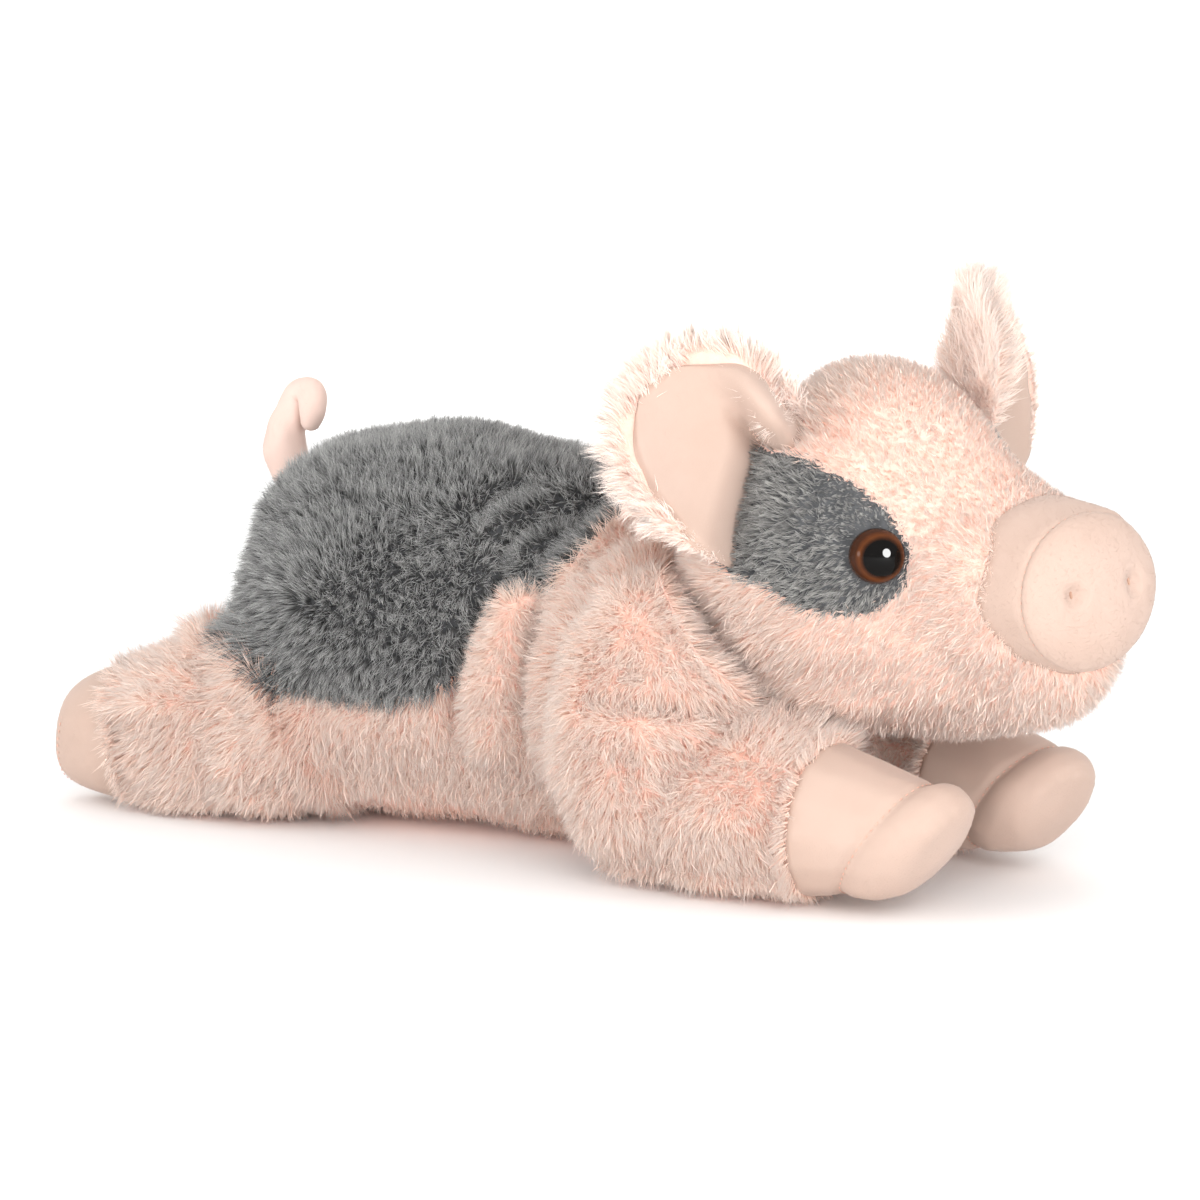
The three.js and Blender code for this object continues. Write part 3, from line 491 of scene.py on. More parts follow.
def scattered(form, cover, density, seed):
    """Random places on a form, this many to the square millimetre where cover is 1, and a reader there."""
    rng = np.random.default_rng(seed)
    p, q = form.points, form.quads
    tri = np.concatenate([q[:, [0, 1, 2]], q[:, [0, 2, 3]]])
    area = np.linalg.norm(np.cross(p[tri[:, 1]] - p[tri[:, 0]], p[tri[:, 2]] - p[tri[:, 0]]), axis=1) / 2
    chance = area * cover[tri].mean(axis=1)
    count = int(density * chance.sum())
    picked = rng.choice(len(tri), count, p=chance / chance.sum())
    a, b = rng.random(count), rng.random(count)
    over = a + b > 1
    a[over], b[over] = 1 - a[over], 1 - b[over]
    weights = np.stack([1 - a - b, a, b], 1)

    def at(values):
        values = np.full(len(p), float(values)) if np.ndim(values) == 0 else values
        w = weights if values.ndim == 1 else weights[:, :, None]
        return (values[tri[picked]] * w).sum(1)

    return rng, count, at


# How far a strand leans less at its root and more at its tip, in degrees
ROOT_BEND, TIP_BEND = 14, 12
# The lowest that a strand reaches over the table
FLOOR_GAP = 0.3


def fur(name, body, slot, form, cover, comb, length, seed, mat, width, density, lean, clump=1.35, wild=0.5,
        gather_in=0.7, sink=0.6, thin=False, spread=(11, 7), fold=0.0, parting=None):
    """Pile on a form: solid pointed locks, or thin bent hairs.

    With a parting (a place across), it is made as a right and a left piece."""
    rng, count, at = scattered(form, cover, density, seed)
    root, normal, flow = at(form.points), unit(at(form.normals)), at(comb)
    reach, tilt = at(length), at(lean)
    centre, marks = lattice(root, clump, 7)
    flow = flow + wild * marks[:, :3] * 1.5 + wild * rng.normal(size=(count, 3)) * 0.4
    flow = unit(in_skin(flow, normal))
    tilt = np.clip(tilt + spread[0] * marks[:, 3] + rng.normal(size=count) * spread[1], 3, 84)
    tilt = np.radians(tilt)[:, None]
    reach = (reach * (1 + 0.14 * marks[:, 0] + 0.12 * rng.normal(size=count)))[:, None]
    pull = in_skin(centre - root, normal) * gather_in
    base = root - normal * sink
    low, high = tilt - math.radians(ROOT_BEND), tilt + math.radians(TIP_BEND)
    start = normal * np.cos(low) + flow * np.sin(low)
    end = normal * np.cos(high) + flow * np.sin(high)
    tip = root + (start + end) * reach * 0.5 + pull
    half = (width * np.clip(1 + 0.25 * rng.normal(size=count), 0.5, 1.6) / 2)[:, None]
    # The tone differs at random from lock to lock, and painted shade in folds lowers it
    tone = 0.55 + 0.28 * marks[:, 1] + 0.15 * rng.normal(size=count) - 0.5 * at(fold)
    tone = np.clip(tone, 0.01, 0.99)[:, None]
    if thin:
        middle = root + start * reach * 0.5 + pull * 0.4
        side = unit(np.cross(end, normal) + 0.5 * rng.normal(size=(count, 3))) * half
        verts = [base - side, base + side, middle - side * 0.95, middle + side * 0.95]
        pattern = [[0, 1, 3], [0, 3, 2], [2, 3, 4]]
        u, v = vec(-1, 1, -1, 1, 0), vec(0.02, 0.02, 0.5, 0.5, 0.98)
    else:
        along = unit(tip - base)
        x = unit(np.cross(along, normal + 0.01))
        y = np.cross(along, x)
        spin = rng.random(count)[:, None] * 2 * math.pi
        verts = [base + (x * np.cos(spin + a) + y * np.sin(spin + a)) * half for a in angles(3)]
        pattern = [[0, 1, 3], [1, 2, 3], [2, 0, 3]]
        u, v = vec(-1, 1, 0, 0), vec(0.02, 0.02, 0.02, 0.98)
    verts = np.stack([*verts, tip], 1)
    verts[:, :, 2] = np.maximum(verts[:, :, 2], FLOOR_GAP)
    corners = verts.shape[1]
    uv = np.stack([tone + 0.004 * u, np.broadcast_to(v, (count, corners))], 2)
    sides = {"": np.ones(count, bool)}
    if parting is not None:
        sides = {"_right": root[:, 1] < parting, "_left": root[:, 1] >= parting}
    for side, here in sides.items():
        faces = (np.array(pattern)[None] + np.arange(here.sum())[:, None, None] * corners).reshape(-1, 3)
        places = uv[here].reshape(-1, 2)[faces.ravel()]
        piece(name + side, body, slot, verts[here].reshape(-1, 3), faces, [mat], uv=places)


def kinds(locks, hairs, share=1.12):
    """The two kinds of strand in a pile, from widths and densities, and how much longer the hairs are."""
    return [("locks", 1.0, dict(width=locks[0], density=locks[1])),
            ("hairs", share, dict(width=hairs[0], density=hairs[1], thin=True))]


def nap(name, form, cover, comb, seed, body, length=0.42, mat=velour_fuzz):
    """The short soft nap of velour."""
    fur(name, body, "pink_velour", form, cover, comb, length, seed, mat, width=0.06, density=4.0, lean=58.0,
        clump=0.25, gather_in=0.0, sink=0.12, wild=0.35, spread=(4, 6))


def stitches(name, body, loop, spacing, length, radius):
    """Short thread stitches along a closed line of points."""
    ring = np.vstack([loop, loop[:1]])
    way = way_along(ring)
    count = int(way[-1] / spacing)
    middles = (np.arange(count) + 0.5) * way[-1] / count
    rings = [(0.0, 0.0), (0.2, 0.8), (0.5, 1.0), (0.8, 0.8), (1.0, 0.0)]
    sides = 5

    def spot(s):
        return vec(*[np.interp(s % way[-1], way, ring[:, k]) for k in range(3)])

    verts, faces = [], []
    for i, m in enumerate(middles):
        a, b = spot(m - length / 2), spot(m + length / 2)
        d = unit(b - a)
        x = unit(np.cross(d, vec(0.3, 0.5, 0.8)))
        y = np.cross(d, x)
        verts += [circle(a + (b - a) * t, x, y, radius * r, sides) for t, r in rings]
        faces.append(round_quads(len(rings), sides) + i * len(rings) * sides)
    piece(name, body, "thread", np.concatenate(verts), np.concatenate(faces), [thread])


# Where things are, as in the CAD source
HEAD_ORIGIN = vec(84, -5, 78)
HEAD_TURNED = turn((0, 0, 1), -13.5) @ turn((1, 0, 0), 8)
SNOUT_TURNED = turn((0, 0, 1), -14)
SNOUT_AHEAD = vec(46, 0, 0)
SNOUT_BASE = SNOUT_AHEAD - vec(0, 0, 4)
NOSTRILS, NOSTRIL_RISE = {"right": -7.75, "left": 7.75}, 1.5
EYE_RADIUS = 6.25
TORSO_REAR, TORSO_LENGTH, TORSO_RISE = 108, 174, 53
HEAD_AHEAD, HEAD_RISE = 59, 43


def in_head(points):
    return (points - HEAD_ORIGIN) @ HEAD_TURNED


def from_head(points):
    return points @ HEAD_TURNED.T + HEAD_ORIGIN


def in_snout(points):
    """Place in the snout's frame: ahead of the head's middle, left, up."""
    return (in_head(points) - SNOUT_BASE) @ SNOUT_TURNED + SNOUT_AHEAD


def from_snout(points):
    return from_head((points - SNOUT_AHEAD) @ SNOUT_TURNED.T + SNOUT_BASE)


# Seam of the grey saddle and outline of the eye patch, in side view and in shares
SADDLE = np.array([
    (0.046, 0.68), (0.27, 0.68), (0.42, 0.67), (0.5, 0.72), (0.545, 0.82), (0.557, 1), (0.572, 1.16),
    (0.605, 1.24), (0.665, 1.29), (0.7, 1.41), (0.72, 1.53), (0.735, 1.7), (0.745, 2),
])
SADDLE = SADDLE * vec(TORSO_LENGTH, TORSO_RISE) - vec(TORSO_REAR, 0)
PATCH = np.array([
    (-0.2, 0.7), (0.07, 0.65), (0.26, 0.52), (0.4, 0.36), (0.48, 0.18), (0.47, -0.04), (0.37, -0.16),
    (0.28, -0.18), (0.14, -0.15), (0, -0.01), (-0.12, 0.03), (-0.24, 0.08), (-0.24, 0.4),
])
PATCH = PATCH * vec(HEAD_AHEAD, HEAD_RISE)


def greyness(points):
    """Distance into the grey saddle in side view, below zero on the pink."""
    x, _, z = points.T
    line = np.vstack([(-160, SADDLE[0, 1]), SADDLE, (SADDLE[-1, 0], 140)])
    distance, _ = line_distance(flat_places(x, z), flat_places(*line.T))
    above = (z > np.interp(x, *SADDLE.T)) & (x < SADDLE[-1, 0])
    return np.where(above, distance, -distance)


def patchness(heads):
    """Distance into the eye patches in the head's side view, below zero outside them."""
    x, _, z = heads.T
    ring = np.vstack([PATCH, PATCH[:1]])
    inside = np.zeros(len(heads), bool)
    for (x1, z1), (x2, z2) in zip(ring[:-1], ring[1:]):
        crosses = (z1 > z) != (z2 > z)
        inside ^= crosses & (x < (x2 - x1) * (z - z1) / (z2 - z1 + 1e-12) + x1)
    distance, _ = line_distance(flat_places(x, z), flat_places(*ring.T))
    return np.where(inside, distance, -distance)


def eye_frame(side):
    """Place and facing of the right eye (side -1) or the left one."""
    out, up = math.radians(48), math.radians(4)
    facing = vec(math.cos(out) * math.cos(up), side * math.sin(out) * math.cos(up), math.sin(up))
    return from_head(vec(22.3, side * 27.6, 6)), HEAD_TURNED @ facing


EYES = {"right": eye_frame(-1), "left": eye_frame(1)}
# Each leg's axis, then the lean of its sole in degrees and how far cuff and sole lie before its end
LEGS = {
    "front_leg_right": ((42, -38.5, 22.5), (117, -39, 16.5), 30, 30, 13),
    "front_leg_left": ((42, 38.5, 22.5), (118, 17, 16.5), 30, 30, 13),
    "rear_leg_right": ((-80, -30, 21.5), (-143, -36, 16), -14, 23, 5),
    "rear_leg_left": ((-80, 30, 21.5), (-143, 36, 16), -14, 23, 5),
}
LEG_PARTS = ("skin", "hoof_wall", "hoof_pad", "stuffing")
TORSO_NODES = ["belly_panel", "back_panel", "torso_stuffing", "pellet_pouch"]
HEAD_NODES = ["head_skin", "eye_patch_right", "eye_patch_left", "head_stuffing"]
LEG_NODES = {name: [f"{name}_{part}" for part in LEG_PARTS] for name in LEGS}

# Skins
torso = remeshed(TORSO_NODES, 1.8, 8)
head = remeshed(HEAD_NODES, 1.5, 8)
legs = {name: remeshed(LEG_NODES[name], 1.0, 6) for name in LEGS}


def look_round(form, trees):
    """Notes where a skin is in the open, and where it has room for pile, with other bodies near."""
    clear = np.full(len(form.points), FAR)
    for tree in trees:
        clear = np.minimum(clear, clear_of(form, tree))
    form.open = form.spread(smooth(clear, 0.4, 2.2), 2)
    form.free = form.spread(smooth(clear, 2.0, 9.0), 2)
    form.half_open = 0.5 + 0.5 * form.open
    # Painted shade: a band round where the skin runs into another body, for darker, redder pile and cloth
    # there
    form.fold = form.spread(smooth(clear, -3.0, 0.0) * (1 - smooth(clear, 1.5, 7.0)), 2)
    form.mouth = form.spread(smooth(clear, 0.6, 2.5) * (1 - smooth(clear, 4.5, 11.0)), 3)


torso_tree, head_tree = torso.tree(), head.tree()
leg_trees = [leg.tree() for leg in legs.values()]
look_round(torso, [head_tree, *leg_trees])
look_round(head, [torso_tree, *leg_trees])
for leg in legs.values():
    look_round(leg, [torso_tree, head_tree])
    # The painted fold shade darkens the legs less than the torso and the head
    leg.fold = leg.fold * 0.45

# Lines on the right side with their depth or height and their width; the torso's are mirrored
TORSO_CREASES = [
    ([(-3, -38, 66), (-8.7, -41.7, 56.6), (-10.6, -43.3, 49.4), (-13.1, -44, 40.8), (-15, -43, 34.4),
      (-16, -40, 24)], 6.0, 3.4),
    ([(9, -35, 68), (7, -38.5, 62), (6.4, -40, 54), (6.8, -41.4, 44.6), (5.2, -40, 34.7), (4.8, -37, 24.5)],
     4.0, 2.6),
    ([(16.3, -12.6, 88.4), (13.6, -20.2, 84.8), (10.8, -26.6, 80.4), (7.4, -31.5, 75.2), (2.7, -34, 72)],
     4.4, 2.8),
    ([(-5.2, -36.3, 70.2), (-4.9, -33.5, 75.3), (-2.3, -30.8, 79.3), (2.1, -26.7, 82.3), (9.6, -21.5, 84.7)],
     4.8, 3.0),
    ([(-15.6, -33, 80.6), (-11.7, -26, 86.3), (-4.4, -19.5, 89.8)], 3.4, 3.6),
    ([(-104, -15, 33), (-90, -40, 35), (-62, -46, 35.5), (-42, -47, 35.5), (-25, -43, 36), (-16, -44, 39)],
     2.2, 2.6),
    ([(-3, -38, 66.5), (2, -37, 68.5), (8, -35, 68.5)], 3.0, 2.4),
]
TORSO_ROLLS = [
    ([(0, -40, 60), (-2.5, -42.5, 50), (-4, -43, 40), (-5, -41, 28)], 4.2, 5.5),
    ([(13, -33, 68), (12, -37, 58), (12, -39, 46)], 1.6, 4.0),
    ([(19, -14, 85), (16, -24, 79), (12, -31, 73)], 1.6, 3.5),
]
FOREARM_CREASES = [
    ([(38, -62, 46), (52, -62, 45), (60, -56, 44.5), (66, -46, 43)], 2.6, 3.2),
    ([(56, -56, 30), (62, -56, 22), (68, -52, 14)], 1.4, 3.4),
]


def shape_torso():
    """Creases and rolls between haunch and shoulder, a hollow over the rump and a gentle back."""
    x, _, z = torso.points.T
    shift = np.zeros(len(x))
    for line, depth, width in TORSO_CREASES:
        for mirror in (1, -1):
            distance, along = line_distance(torso.points, line * vec(1, mirror, 1))
            ends = smooth(along, -0.02, 0.18) * smooth(1 - along, -0.02, 0.18)
            shift -= depth * bell(distance, width) * (0.35 + 0.65 * ends)
    for mirror in (1, -1):
        for line, height, width in TORSO_ROLLS:
            distance, _ = line_distance(torso.points, line * vec(1, mirror, 1))
            shift += height * bell(distance, width)
        shift += 1.8 * bump(torso.points, (-38, -44 * mirror, 55), 24)
    shift += 0.9 * wave(torso.points, 42, 5)
    torso.grey = greyness(torso.points)
    # Painted shade also darkens the pile in the sculpted creases
    torso.fold = np.clip(torso.fold + 0.7 * smooth(-torso.spread(shift, 2), 1.2, 4.0), 0, 1)
    under = torso.underside(20, 14)
    inset = 0.6 + (2.8 * (1 - under) + 0.6 * under) * torso.free
    back_line = smooth(-x, 26, 45) * smooth(x + 100, 0, 12)
    top_lift = 1.4 * smooth(torso.normals[:, 2], 0.3, 0.9) * smooth(z, 60, 85) * (0.4 + back_line)
    rear = smooth(-x, 80, 102) * bell(z - 66, 24)
    torso.push((shift + top_lift - 8.5 * rear + 2.0 * torso.mouth) * torso.open - inset)
    torso.smoothen(2)


def shape_head():
    """Eyes and snout sit close on the cloth, the crown and the cheeks by the snout are full."""
    heads = in_head(head.points)
    x, y, z = heads.T
    # The far patch reaches higher, as its sliver in the photograph does
    raised = smooth(y, 0, 14) * smooth(x, 2, 26) * smooth(z, 4, 20)
    head.patch = patchness(heads - vec(2, 0, 8) * raised[:, None])
    head.eye_near = np.clip(sum(bump(head.points, place, 9) for place, _ in EYES.values()), 0, 1)
    ahead, aside, up = in_snout(head.points).T
    reach = np.hypot(aside, up)
    head.snout_near = bell(np.maximum(reach - 19, 0), 8) * smooth(ahead, 22, 34)
    inset = 0.6 + (2.7 - 0.9 * smooth(x, -5, 25) - 1.2 * head.eye_near) * head.free
    inset = inset * (1 - 0.5 * head.snout_near)
    crown = bump(heads, (8, 0, 42), 24)
    collar = bell(reach - 21.5, 5) * smooth(ahead, 30, 38) * smooth(np.abs(aside) / reach, 0.6, 0.9)
    chin = bump(heads, (50, 0, -32), 16)
    shift = 0.7 * wave(head.points, 30, 8) * head.open + 2.6 * crown + 1.2 * chin
    head.push(shift + 3.2 * collar + 3.0 * head.mouth - inset)
    head.smoothen(2)


def shape_leg(name, leg):
    """Plush down to the cuff, then a smooth hoof with its sewn sole."""
    start, end, lean, to_cuff, to_sole = LEGS[name]
    leg.along = unit(vec(*end) - vec(*start))
    leg.across = unit(np.cross(vec(0, 0, 1), leg.along))
    leg.sole = turn(leg.across, lean) @ leg.along
    leg.cuff = (leg.points - (end - leg.along * to_cuff)) @ leg.along
    leg.seam = (leg.points - (end - leg.along * to_sole)) @ leg.sole
    x, _, z = leg.points.T
    facing_up = smooth(leg.normals[:, 2], 0.1, 0.8)
    under = leg.underside(14, 10)
    plush = 1 - smooth(leg.cuff, -1.5, 1.0)
    hoof = 1 - plush
    inset = plush * (0.6 + (2.6 * (1 - under) + 0.4 * under) * leg.free) + hoof * 0.25
    shift = -0.9 * bell(leg.seam, 0.9) * hoof
    shift += 0.35 * bell(leg.seam - 2.2, 1.6) * hoof
    shift += 0.7 * wave(leg.points, 24, 21) * plush * leg.open + 0.25 * wave(leg.points, 16, 22) * hoof
    if name == "front_leg_right":
        for line, depth, width in FOREARM_CREASES:
            distance, _ = line_distance(leg.points, line)
            shift -= depth * bell(distance, width) * plush
    if "rear" in name:
        shift += 5.4 * facing_up * smooth(-x, 84, 104) * plush
        shift += 3.2 * facing_up * hoof
    else:
        shift += 2.0 * smooth(leg.seam, 0.5, 6.0) * smooth(z, 1.5, 8)
    leg.push(shift + 2.0 * leg.mouth * plush - inset)
    if "rear" in name:
        sharp = leg.points
        leg.smoothen(70)
        round_end = smooth(leg.cuff, 1.0, 9.0)
        leg.points = sharp * (1 - round_end[:, None]) + leg.points * round_end[:, None]
        leg.refresh()
        leg.push(1.5 * round_end)
    leg.smoothen(1)


shape_torso()
shape_head()
for name, leg in legs.items():
    shape_leg(name, leg)

# Widths and densities of the locks and of the hairs
LONG_PILE = kinds((0.34, 5.0), (0.17, 1.1))
HEAD_PILE = kinds((0.3, 5.6), (0.15, 1.2))
EAR_PILE = kinds((0.28, 3.8), (0.14, 5.5), 1.4)
# The head's pile parts where its right and left piece have like numbers of strands
HEAD_PARTING = -9.5


def plush_cover(body, form, nodes, other, where):
    """A padded cover of pink plush, with painted shade in its folds, and another cloth where a value is above
    zero.
    """
    fold = form.fold[form.quads].mean(axis=1) > 0.4
    slots = np.where(where[form.quads].mean(axis=1) > 0, 1, np.where(fold, 2, 0))
    mats = [pink_ground, other, pink_fold]
    padded_skin(f"{body}_cloth", body, "pink_plush", form, mats, nodes, face_slots=slots)


def coat(body, form, comb, pile, coats, **options):
    """The locks and hairs of a body, in each of its coats."""
    for kind, share, strand in pile:
        for colour, cover, length, seed, mat, own in coats:
            slot = "grey_plush" if colour == "_grey" else "pink_plush"
            fur(f"{body}{colour}_{kind}", body, slot, form, cover, comb, length * share, seed, mat,
                **options, **own, **strand)


def dress_torso():
    plush_cover("torso", torso, TORSO_NODES, grey_ground, torso.grey)
    p = torso.points
    x, y, _ = p.T
    # The pile runs out from a whorl on each haunch and falls down the sides
    whorl = np.stack([np.full(len(p), -60.0), np.where(y < 0, -44.0, 44.0), np.full(len(p), 57.0)], 1)
    away = p - whorl
    away = unit(away) * (0.35 + bell(np.linalg.norm(away, axis=1, keepdims=True), 26))
    comb = vec(0, 0, -0.55) + 1.1 * away * smooth(-8 - p[:, 0:1], -8, 8)
    comb = comb + vec(-0.15, 0, -0.3) * smooth(p[:, 0:1], -12, 4)
    comb = comb + 0.25 * wave(p, 30, 31, 3)
    on_top = smooth(torso.normals[:, 2], 0.45, 0.9)
    lean = (38 - 8 * on_top) * (0.6 + 0.4 * torso.free)
    under = torso.underside(24, 14)
    grey = torso.half_open * smooth(torso.grey, -0.4, 0.4)
    pink = torso.half_open * smooth(-torso.grey, -0.4, 0.4) * (1 - 0.8 * under)
    length = (5.4 - 2.6 * under - 1.4 * smooth(-x, 84, 106)) * torso.half_open * (1.6 - 0.6 * torso.free)
    coats = [("_grey", grey, length, 101, grey_fur, {}), ("_pink", pink, length * 0.92, 102, pink_fur, {})]
    coat("torso", torso, comb, LONG_PILE, coats, lean=lean, fold=torso.fold, parting=0.0)


# Ears: a is the way across, d the way along, and the height is over the ear's flat sheet
EAR_LENGTH, EAR_HALF, EAR_CUP = 54.0, 22.0, 8.0
EAR_ROOT_DEPTH = 13
# Place, pointing and facing in the head, then where the bare rim starts across and stops along
EARS = {
    "right": ((-4, -37, 20), (-0.62, -0.22, 0.75), (0.61, -0.69, 0.37), 0.1, 0.72),
    "left": ((3, 33, 20), (-0.25, 0.25, 0.935), (0.82, 0.51, 0.08), -0.1, 0.85),
}
EAR_VALLEY = flat_places(*np.array([(9.5, 33), (8.8, 30), (8.2, 26), (7.6, 22)]).T)
ROWS_ALONG, ROWS_ACROSS = 44, 40
SHEET_D, SHEET_S = np.meshgrid(EAR_LENGTH * np.sin(math.pi / 2 * np.arange(ROWS_ALONG + 1) / ROWS_ALONG),
                               np.linspace(-1, 1, ROWS_ACROSS + 1), indexing="ij")


def folded_height(a, d):
    """The near ear: its base dives into the head along a slanting line, but for the rolled upper rim."""
    rolled = smooth(a, 7, 10)
    into = d - 22.8 - 0.69 * (a - 5.4)
    height = -12.0 * (1 - smooth(into, -7, 5)) * (1 - rolled)
    height -= 8.0 * (1 - smooth(d - 0.35 * (a - 13) ** 2, 14, 22)) * rolled
    roll = smooth(d, 11, 20) * (1 - smooth(d, 27, 42))
    wide = 2.9 + 1.3 * smooth(d, 14, 26)
    height += 6.0 * bell(a - 13.2, wide) * roll - 5.0 * smooth(a, 15, 21) * roll
    valley, _ = line_distance(flat_places(a, d), EAR_VALLEY)
    return height - 5.0 * bell(valley, 2.5) * (1 - 0.8 * smooth(d, 27, 35))


def upright_height(a, d):
    """The far ear: a hollow below, rims that curl to the front, and a tip that leans forward."""
    lower = 1 - 0.6 * smooth(d, 30, EAR_LENGTH)
    height = -5.0 * bell(a + 8, 8) * lower + 3.0 * np.maximum(a / EAR_HALF, 0) ** 1.5
    height += 2.5 * np.maximum(-(a + 8) / 14, 0) ** 1.2 * lower
    return height + 6.0 * np.maximum((d - 20) / (EAR_LENGTH - 20), 0) ** 1.3


def ear_half_width(d):
    widest = 0.45 * EAR_LENGTH
    away = np.where(d < widest, (widest - d) / widest, (d - widest) / (EAR_LENGTH - widest))
    lower = EAR_HALF * (1 - 0.42 * away**2)
    upper = EAR_HALF * np.sqrt(np.maximum(0, 1 - np.clip(away, 0, 1) ** 2))
    return np.where(d < widest, lower, upper)


def build_ear(side):
    """A velour lining on a closed leaf of plush, with pile on its back and rim."""
    body = f"ear_{side}"
    place, pointing, facing, bare_start, bare_stop = EARS[side]
    along = unit(vec(*pointing))
    front = unit(vec(*facing) - along * (vec(*facing) @ along))
    across = np.cross(along, front)
    origin = place - along * EAR_ROOT_DEPTH
    to_tip, to_front, to_rim = HEAD_TURNED @ along, HEAD_TURNED @ front, HEAD_TURNED @ across

    def sheet(inset, shortened, lift):
        """Points of a sheet at this height, set in from the ear's outline."""
        a = (SHEET_S * np.maximum(ear_half_width(SHEET_D) - inset, 0.05)).ravel()
        d = (SHEET_D * (EAR_LENGTH - shortened) / EAR_LENGTH).ravel()
        height = EAR_CUP * (a / EAR_HALF) ** 2 + lift(a, d)
        if side == "right":
            height = height + folded_height(a, d)
        else:
            height = height + upright_height(a, d)
            d = d * 0.92
        return from_head(origin + a[:, None] * across + d[:, None] * along + height[:, None] * front)

    def bareness(s, share):
        """The pile wraps round the lower rim and the tip; the upper rim stays bare."""
        return smooth(s, bare_start, bare_start + 0.6) * (1 - smooth(share, bare_stop, bare_stop + 0.15))

    # The lining is a smaller leaf that stands off the plush and turns down at its rim
    share = SHEET_D / EAR_LENGTH
    inset = 1.2 + (2.4 - 1.4 * bareness(SHEET_S, share)) * smooth(share, 0.2, 0.45)
    edge = np.clip(1 - np.minimum(1 - np.abs(SHEET_S), (EAR_LENGTH - SHEET_D) / EAR_LENGTH * 2), 0, 1).ravel()
    rim_down = 1.0 - 2.0 * smooth(edge, 0.86, 1.0)
    inner = sheet(inset, 4.6, lambda a, d: rim_down + 0.3 * wave(np.stack([a, d, 0 * d], 1), 14, 71))
    grid = np.arange(len(inner)).reshape(SHEET_S.shape)
    lining = Form(inner, sheet_quads(grid))
    if (lining.normals @ to_front).mean() < 0:
        lining = Form(inner, lining.quads[:, ::-1])
    piece(f"{body}_velour", body, "pink_velour", inner, lining.quads, [velour], [f"{body}_lining"])
    comb = np.broadcast_to(to_tip, inner.shape) + 0.3 * wave(inner, 12, 72, 3)
    nap(f"{body}_nap", lining, np.ones(len(inner)), comb, 141, body)

    # The back is a closed leaf of plush cloth
    thick = (0.9 * np.sqrt(np.maximum(0, 1 - np.maximum(np.abs(SHEET_S), share) ** 8))).ravel()
    points = np.concatenate([sheet(1.0, 1.0, lambda a, d: -1.6 + sign * thick) for sign in (1, -1)])
    rim = np.concatenate([grid[:, 0], grid[-1, 1:], grid[::-1, -1][1:], grid[0, ::-1][1:]])
    quads = np.concatenate([sheet_quads(grid), sheet_quads(grid + grid.size)[:, [0, 3, 2, 1]],
                            np.stack([rim[:-1], rim[1:], rim[1:] + grid.size, rim[:-1] + grid.size], -1)])
    leaf = Form(points, quads)
    if ((leaf.points - leaf.points.mean(0)) * leaf.normals).sum() < 0:
        leaf = Form(points, quads[:, ::-1])
    piece(f"{body}_cloth", body, "pink_plush", points, leaf.quads, [pink_ground], [f"{body}_back"])
    s, share = np.tile(SHEET_S.ravel(), 2), np.tile(share.ravel(), 2)
    at_rim = np.maximum(np.abs(s), share)
    bare = bareness(s, share)
    outward = to_rim * (s * (1 - 0.5 * bare))[:, None] + to_tip * (share - 0.2)[:, None]
    comb = outward * 1.2 + to_tip * 0.6 + 0.35 * wave(leaf.points, 12, 73, 3)
    cover = smooth(leaf.normals @ -to_front, -0.1, 0.5)
    cover = cover + 1.5 * smooth(at_rim, 0.82 + 0.06 * bare, 0.9 + 0.05 * bare)
    cover = cover * smooth(share, 0.14, 0.26)
    short, at_bare = (5.4, -4.2) if side == "left" else (3.8, 1.3)
    tall = short + 1.4 * smooth(at_rim, 0.8, 1.0) + at_bare * bare
    tall = tall * (0.35 + 0.65 * smooth(share, 0.22, 0.42))
    coat(body, leaf, comb, EAR_PILE, [("", cover, tall, 151, ear_fur, {})], lean=54.0)
    return [leaf.tree(), lining.tree()]


def dress_head(ear_trees):
    plush_cover("head", head, HEAD_NODES, grey_ground, head.patch)
    heads = in_head(head.points)
    x, _, z = heads.T
    flow = unit(heads - vec(48, 0, -4)) + vec(-0.5, 0, -0.35)
    flow = flow + vec(0, 0, -0.4) * smooth(-heads[:, 2:3], -10, 20)
    comb = flow @ HEAD_TURNED.T + 0.35 * wave(head.points, 16, 41, 3)
    eye_clear = np.full(len(x), FAR)
    for place, facing in EYES.values():
        off = head.points - place
        eye_clear = np.minimum(eye_clear, np.linalg.norm(off, axis=1))
        off = unit(off - facing * (off @ facing)[:, None])
        comb = comb + 2.5 * off * bump(head.points, place, 8.5)[:, None]
    face = smooth(x, -8, 22)
    forehead = smooth(z, 2, 18) * smooth(x, -4, 12)
    length = (4.0 - 1.2 * face - 1.2 * forehead) * head.half_open * (1.7 - 0.7 * head.free)
    length = length * (1 - 0.45 * head.eye_near) * (1 + 0.15 * head.snout_near)
    # No pile under the snout, the eyes and the ears
    ahead, aside, up = in_snout(head.points).T
    cover = head.half_open * smooth(eye_clear, 6.2, 7.4)
    cover = cover * (1 - smooth(ahead, 38, 44) * (1 - smooth(np.hypot(aside, up), 16.5, 18.5)))
    for tree in ear_trees:
        cover = cover * smooth(np.abs(clear_of(head, tree)), 0.4, 1.8)
    lean = (28 + 14 * face) * (0.6 + 0.4 * head.free)
    pink, grey = cover * smooth(-head.patch, -0.3, 0.5), cover * smooth(head.patch, -0.5, 0.3)
    coats = [("_pink", pink, length, 103, pink_fur, dict(lean=lean, clump=1.15)),
             ("_grey", grey, length * 0.85, 104, patch_fur, dict(lean=lean + 8, clump=1.2))]
    # Painted shade also darkens the forehead's pile
    fold = np.clip(head.fold + 0.4 * forehead, 0, 1)
    coat("head", head, comb, HEAD_PILE, coats, wild=0.8, fold=fold, parting=HEAD_PARTING)


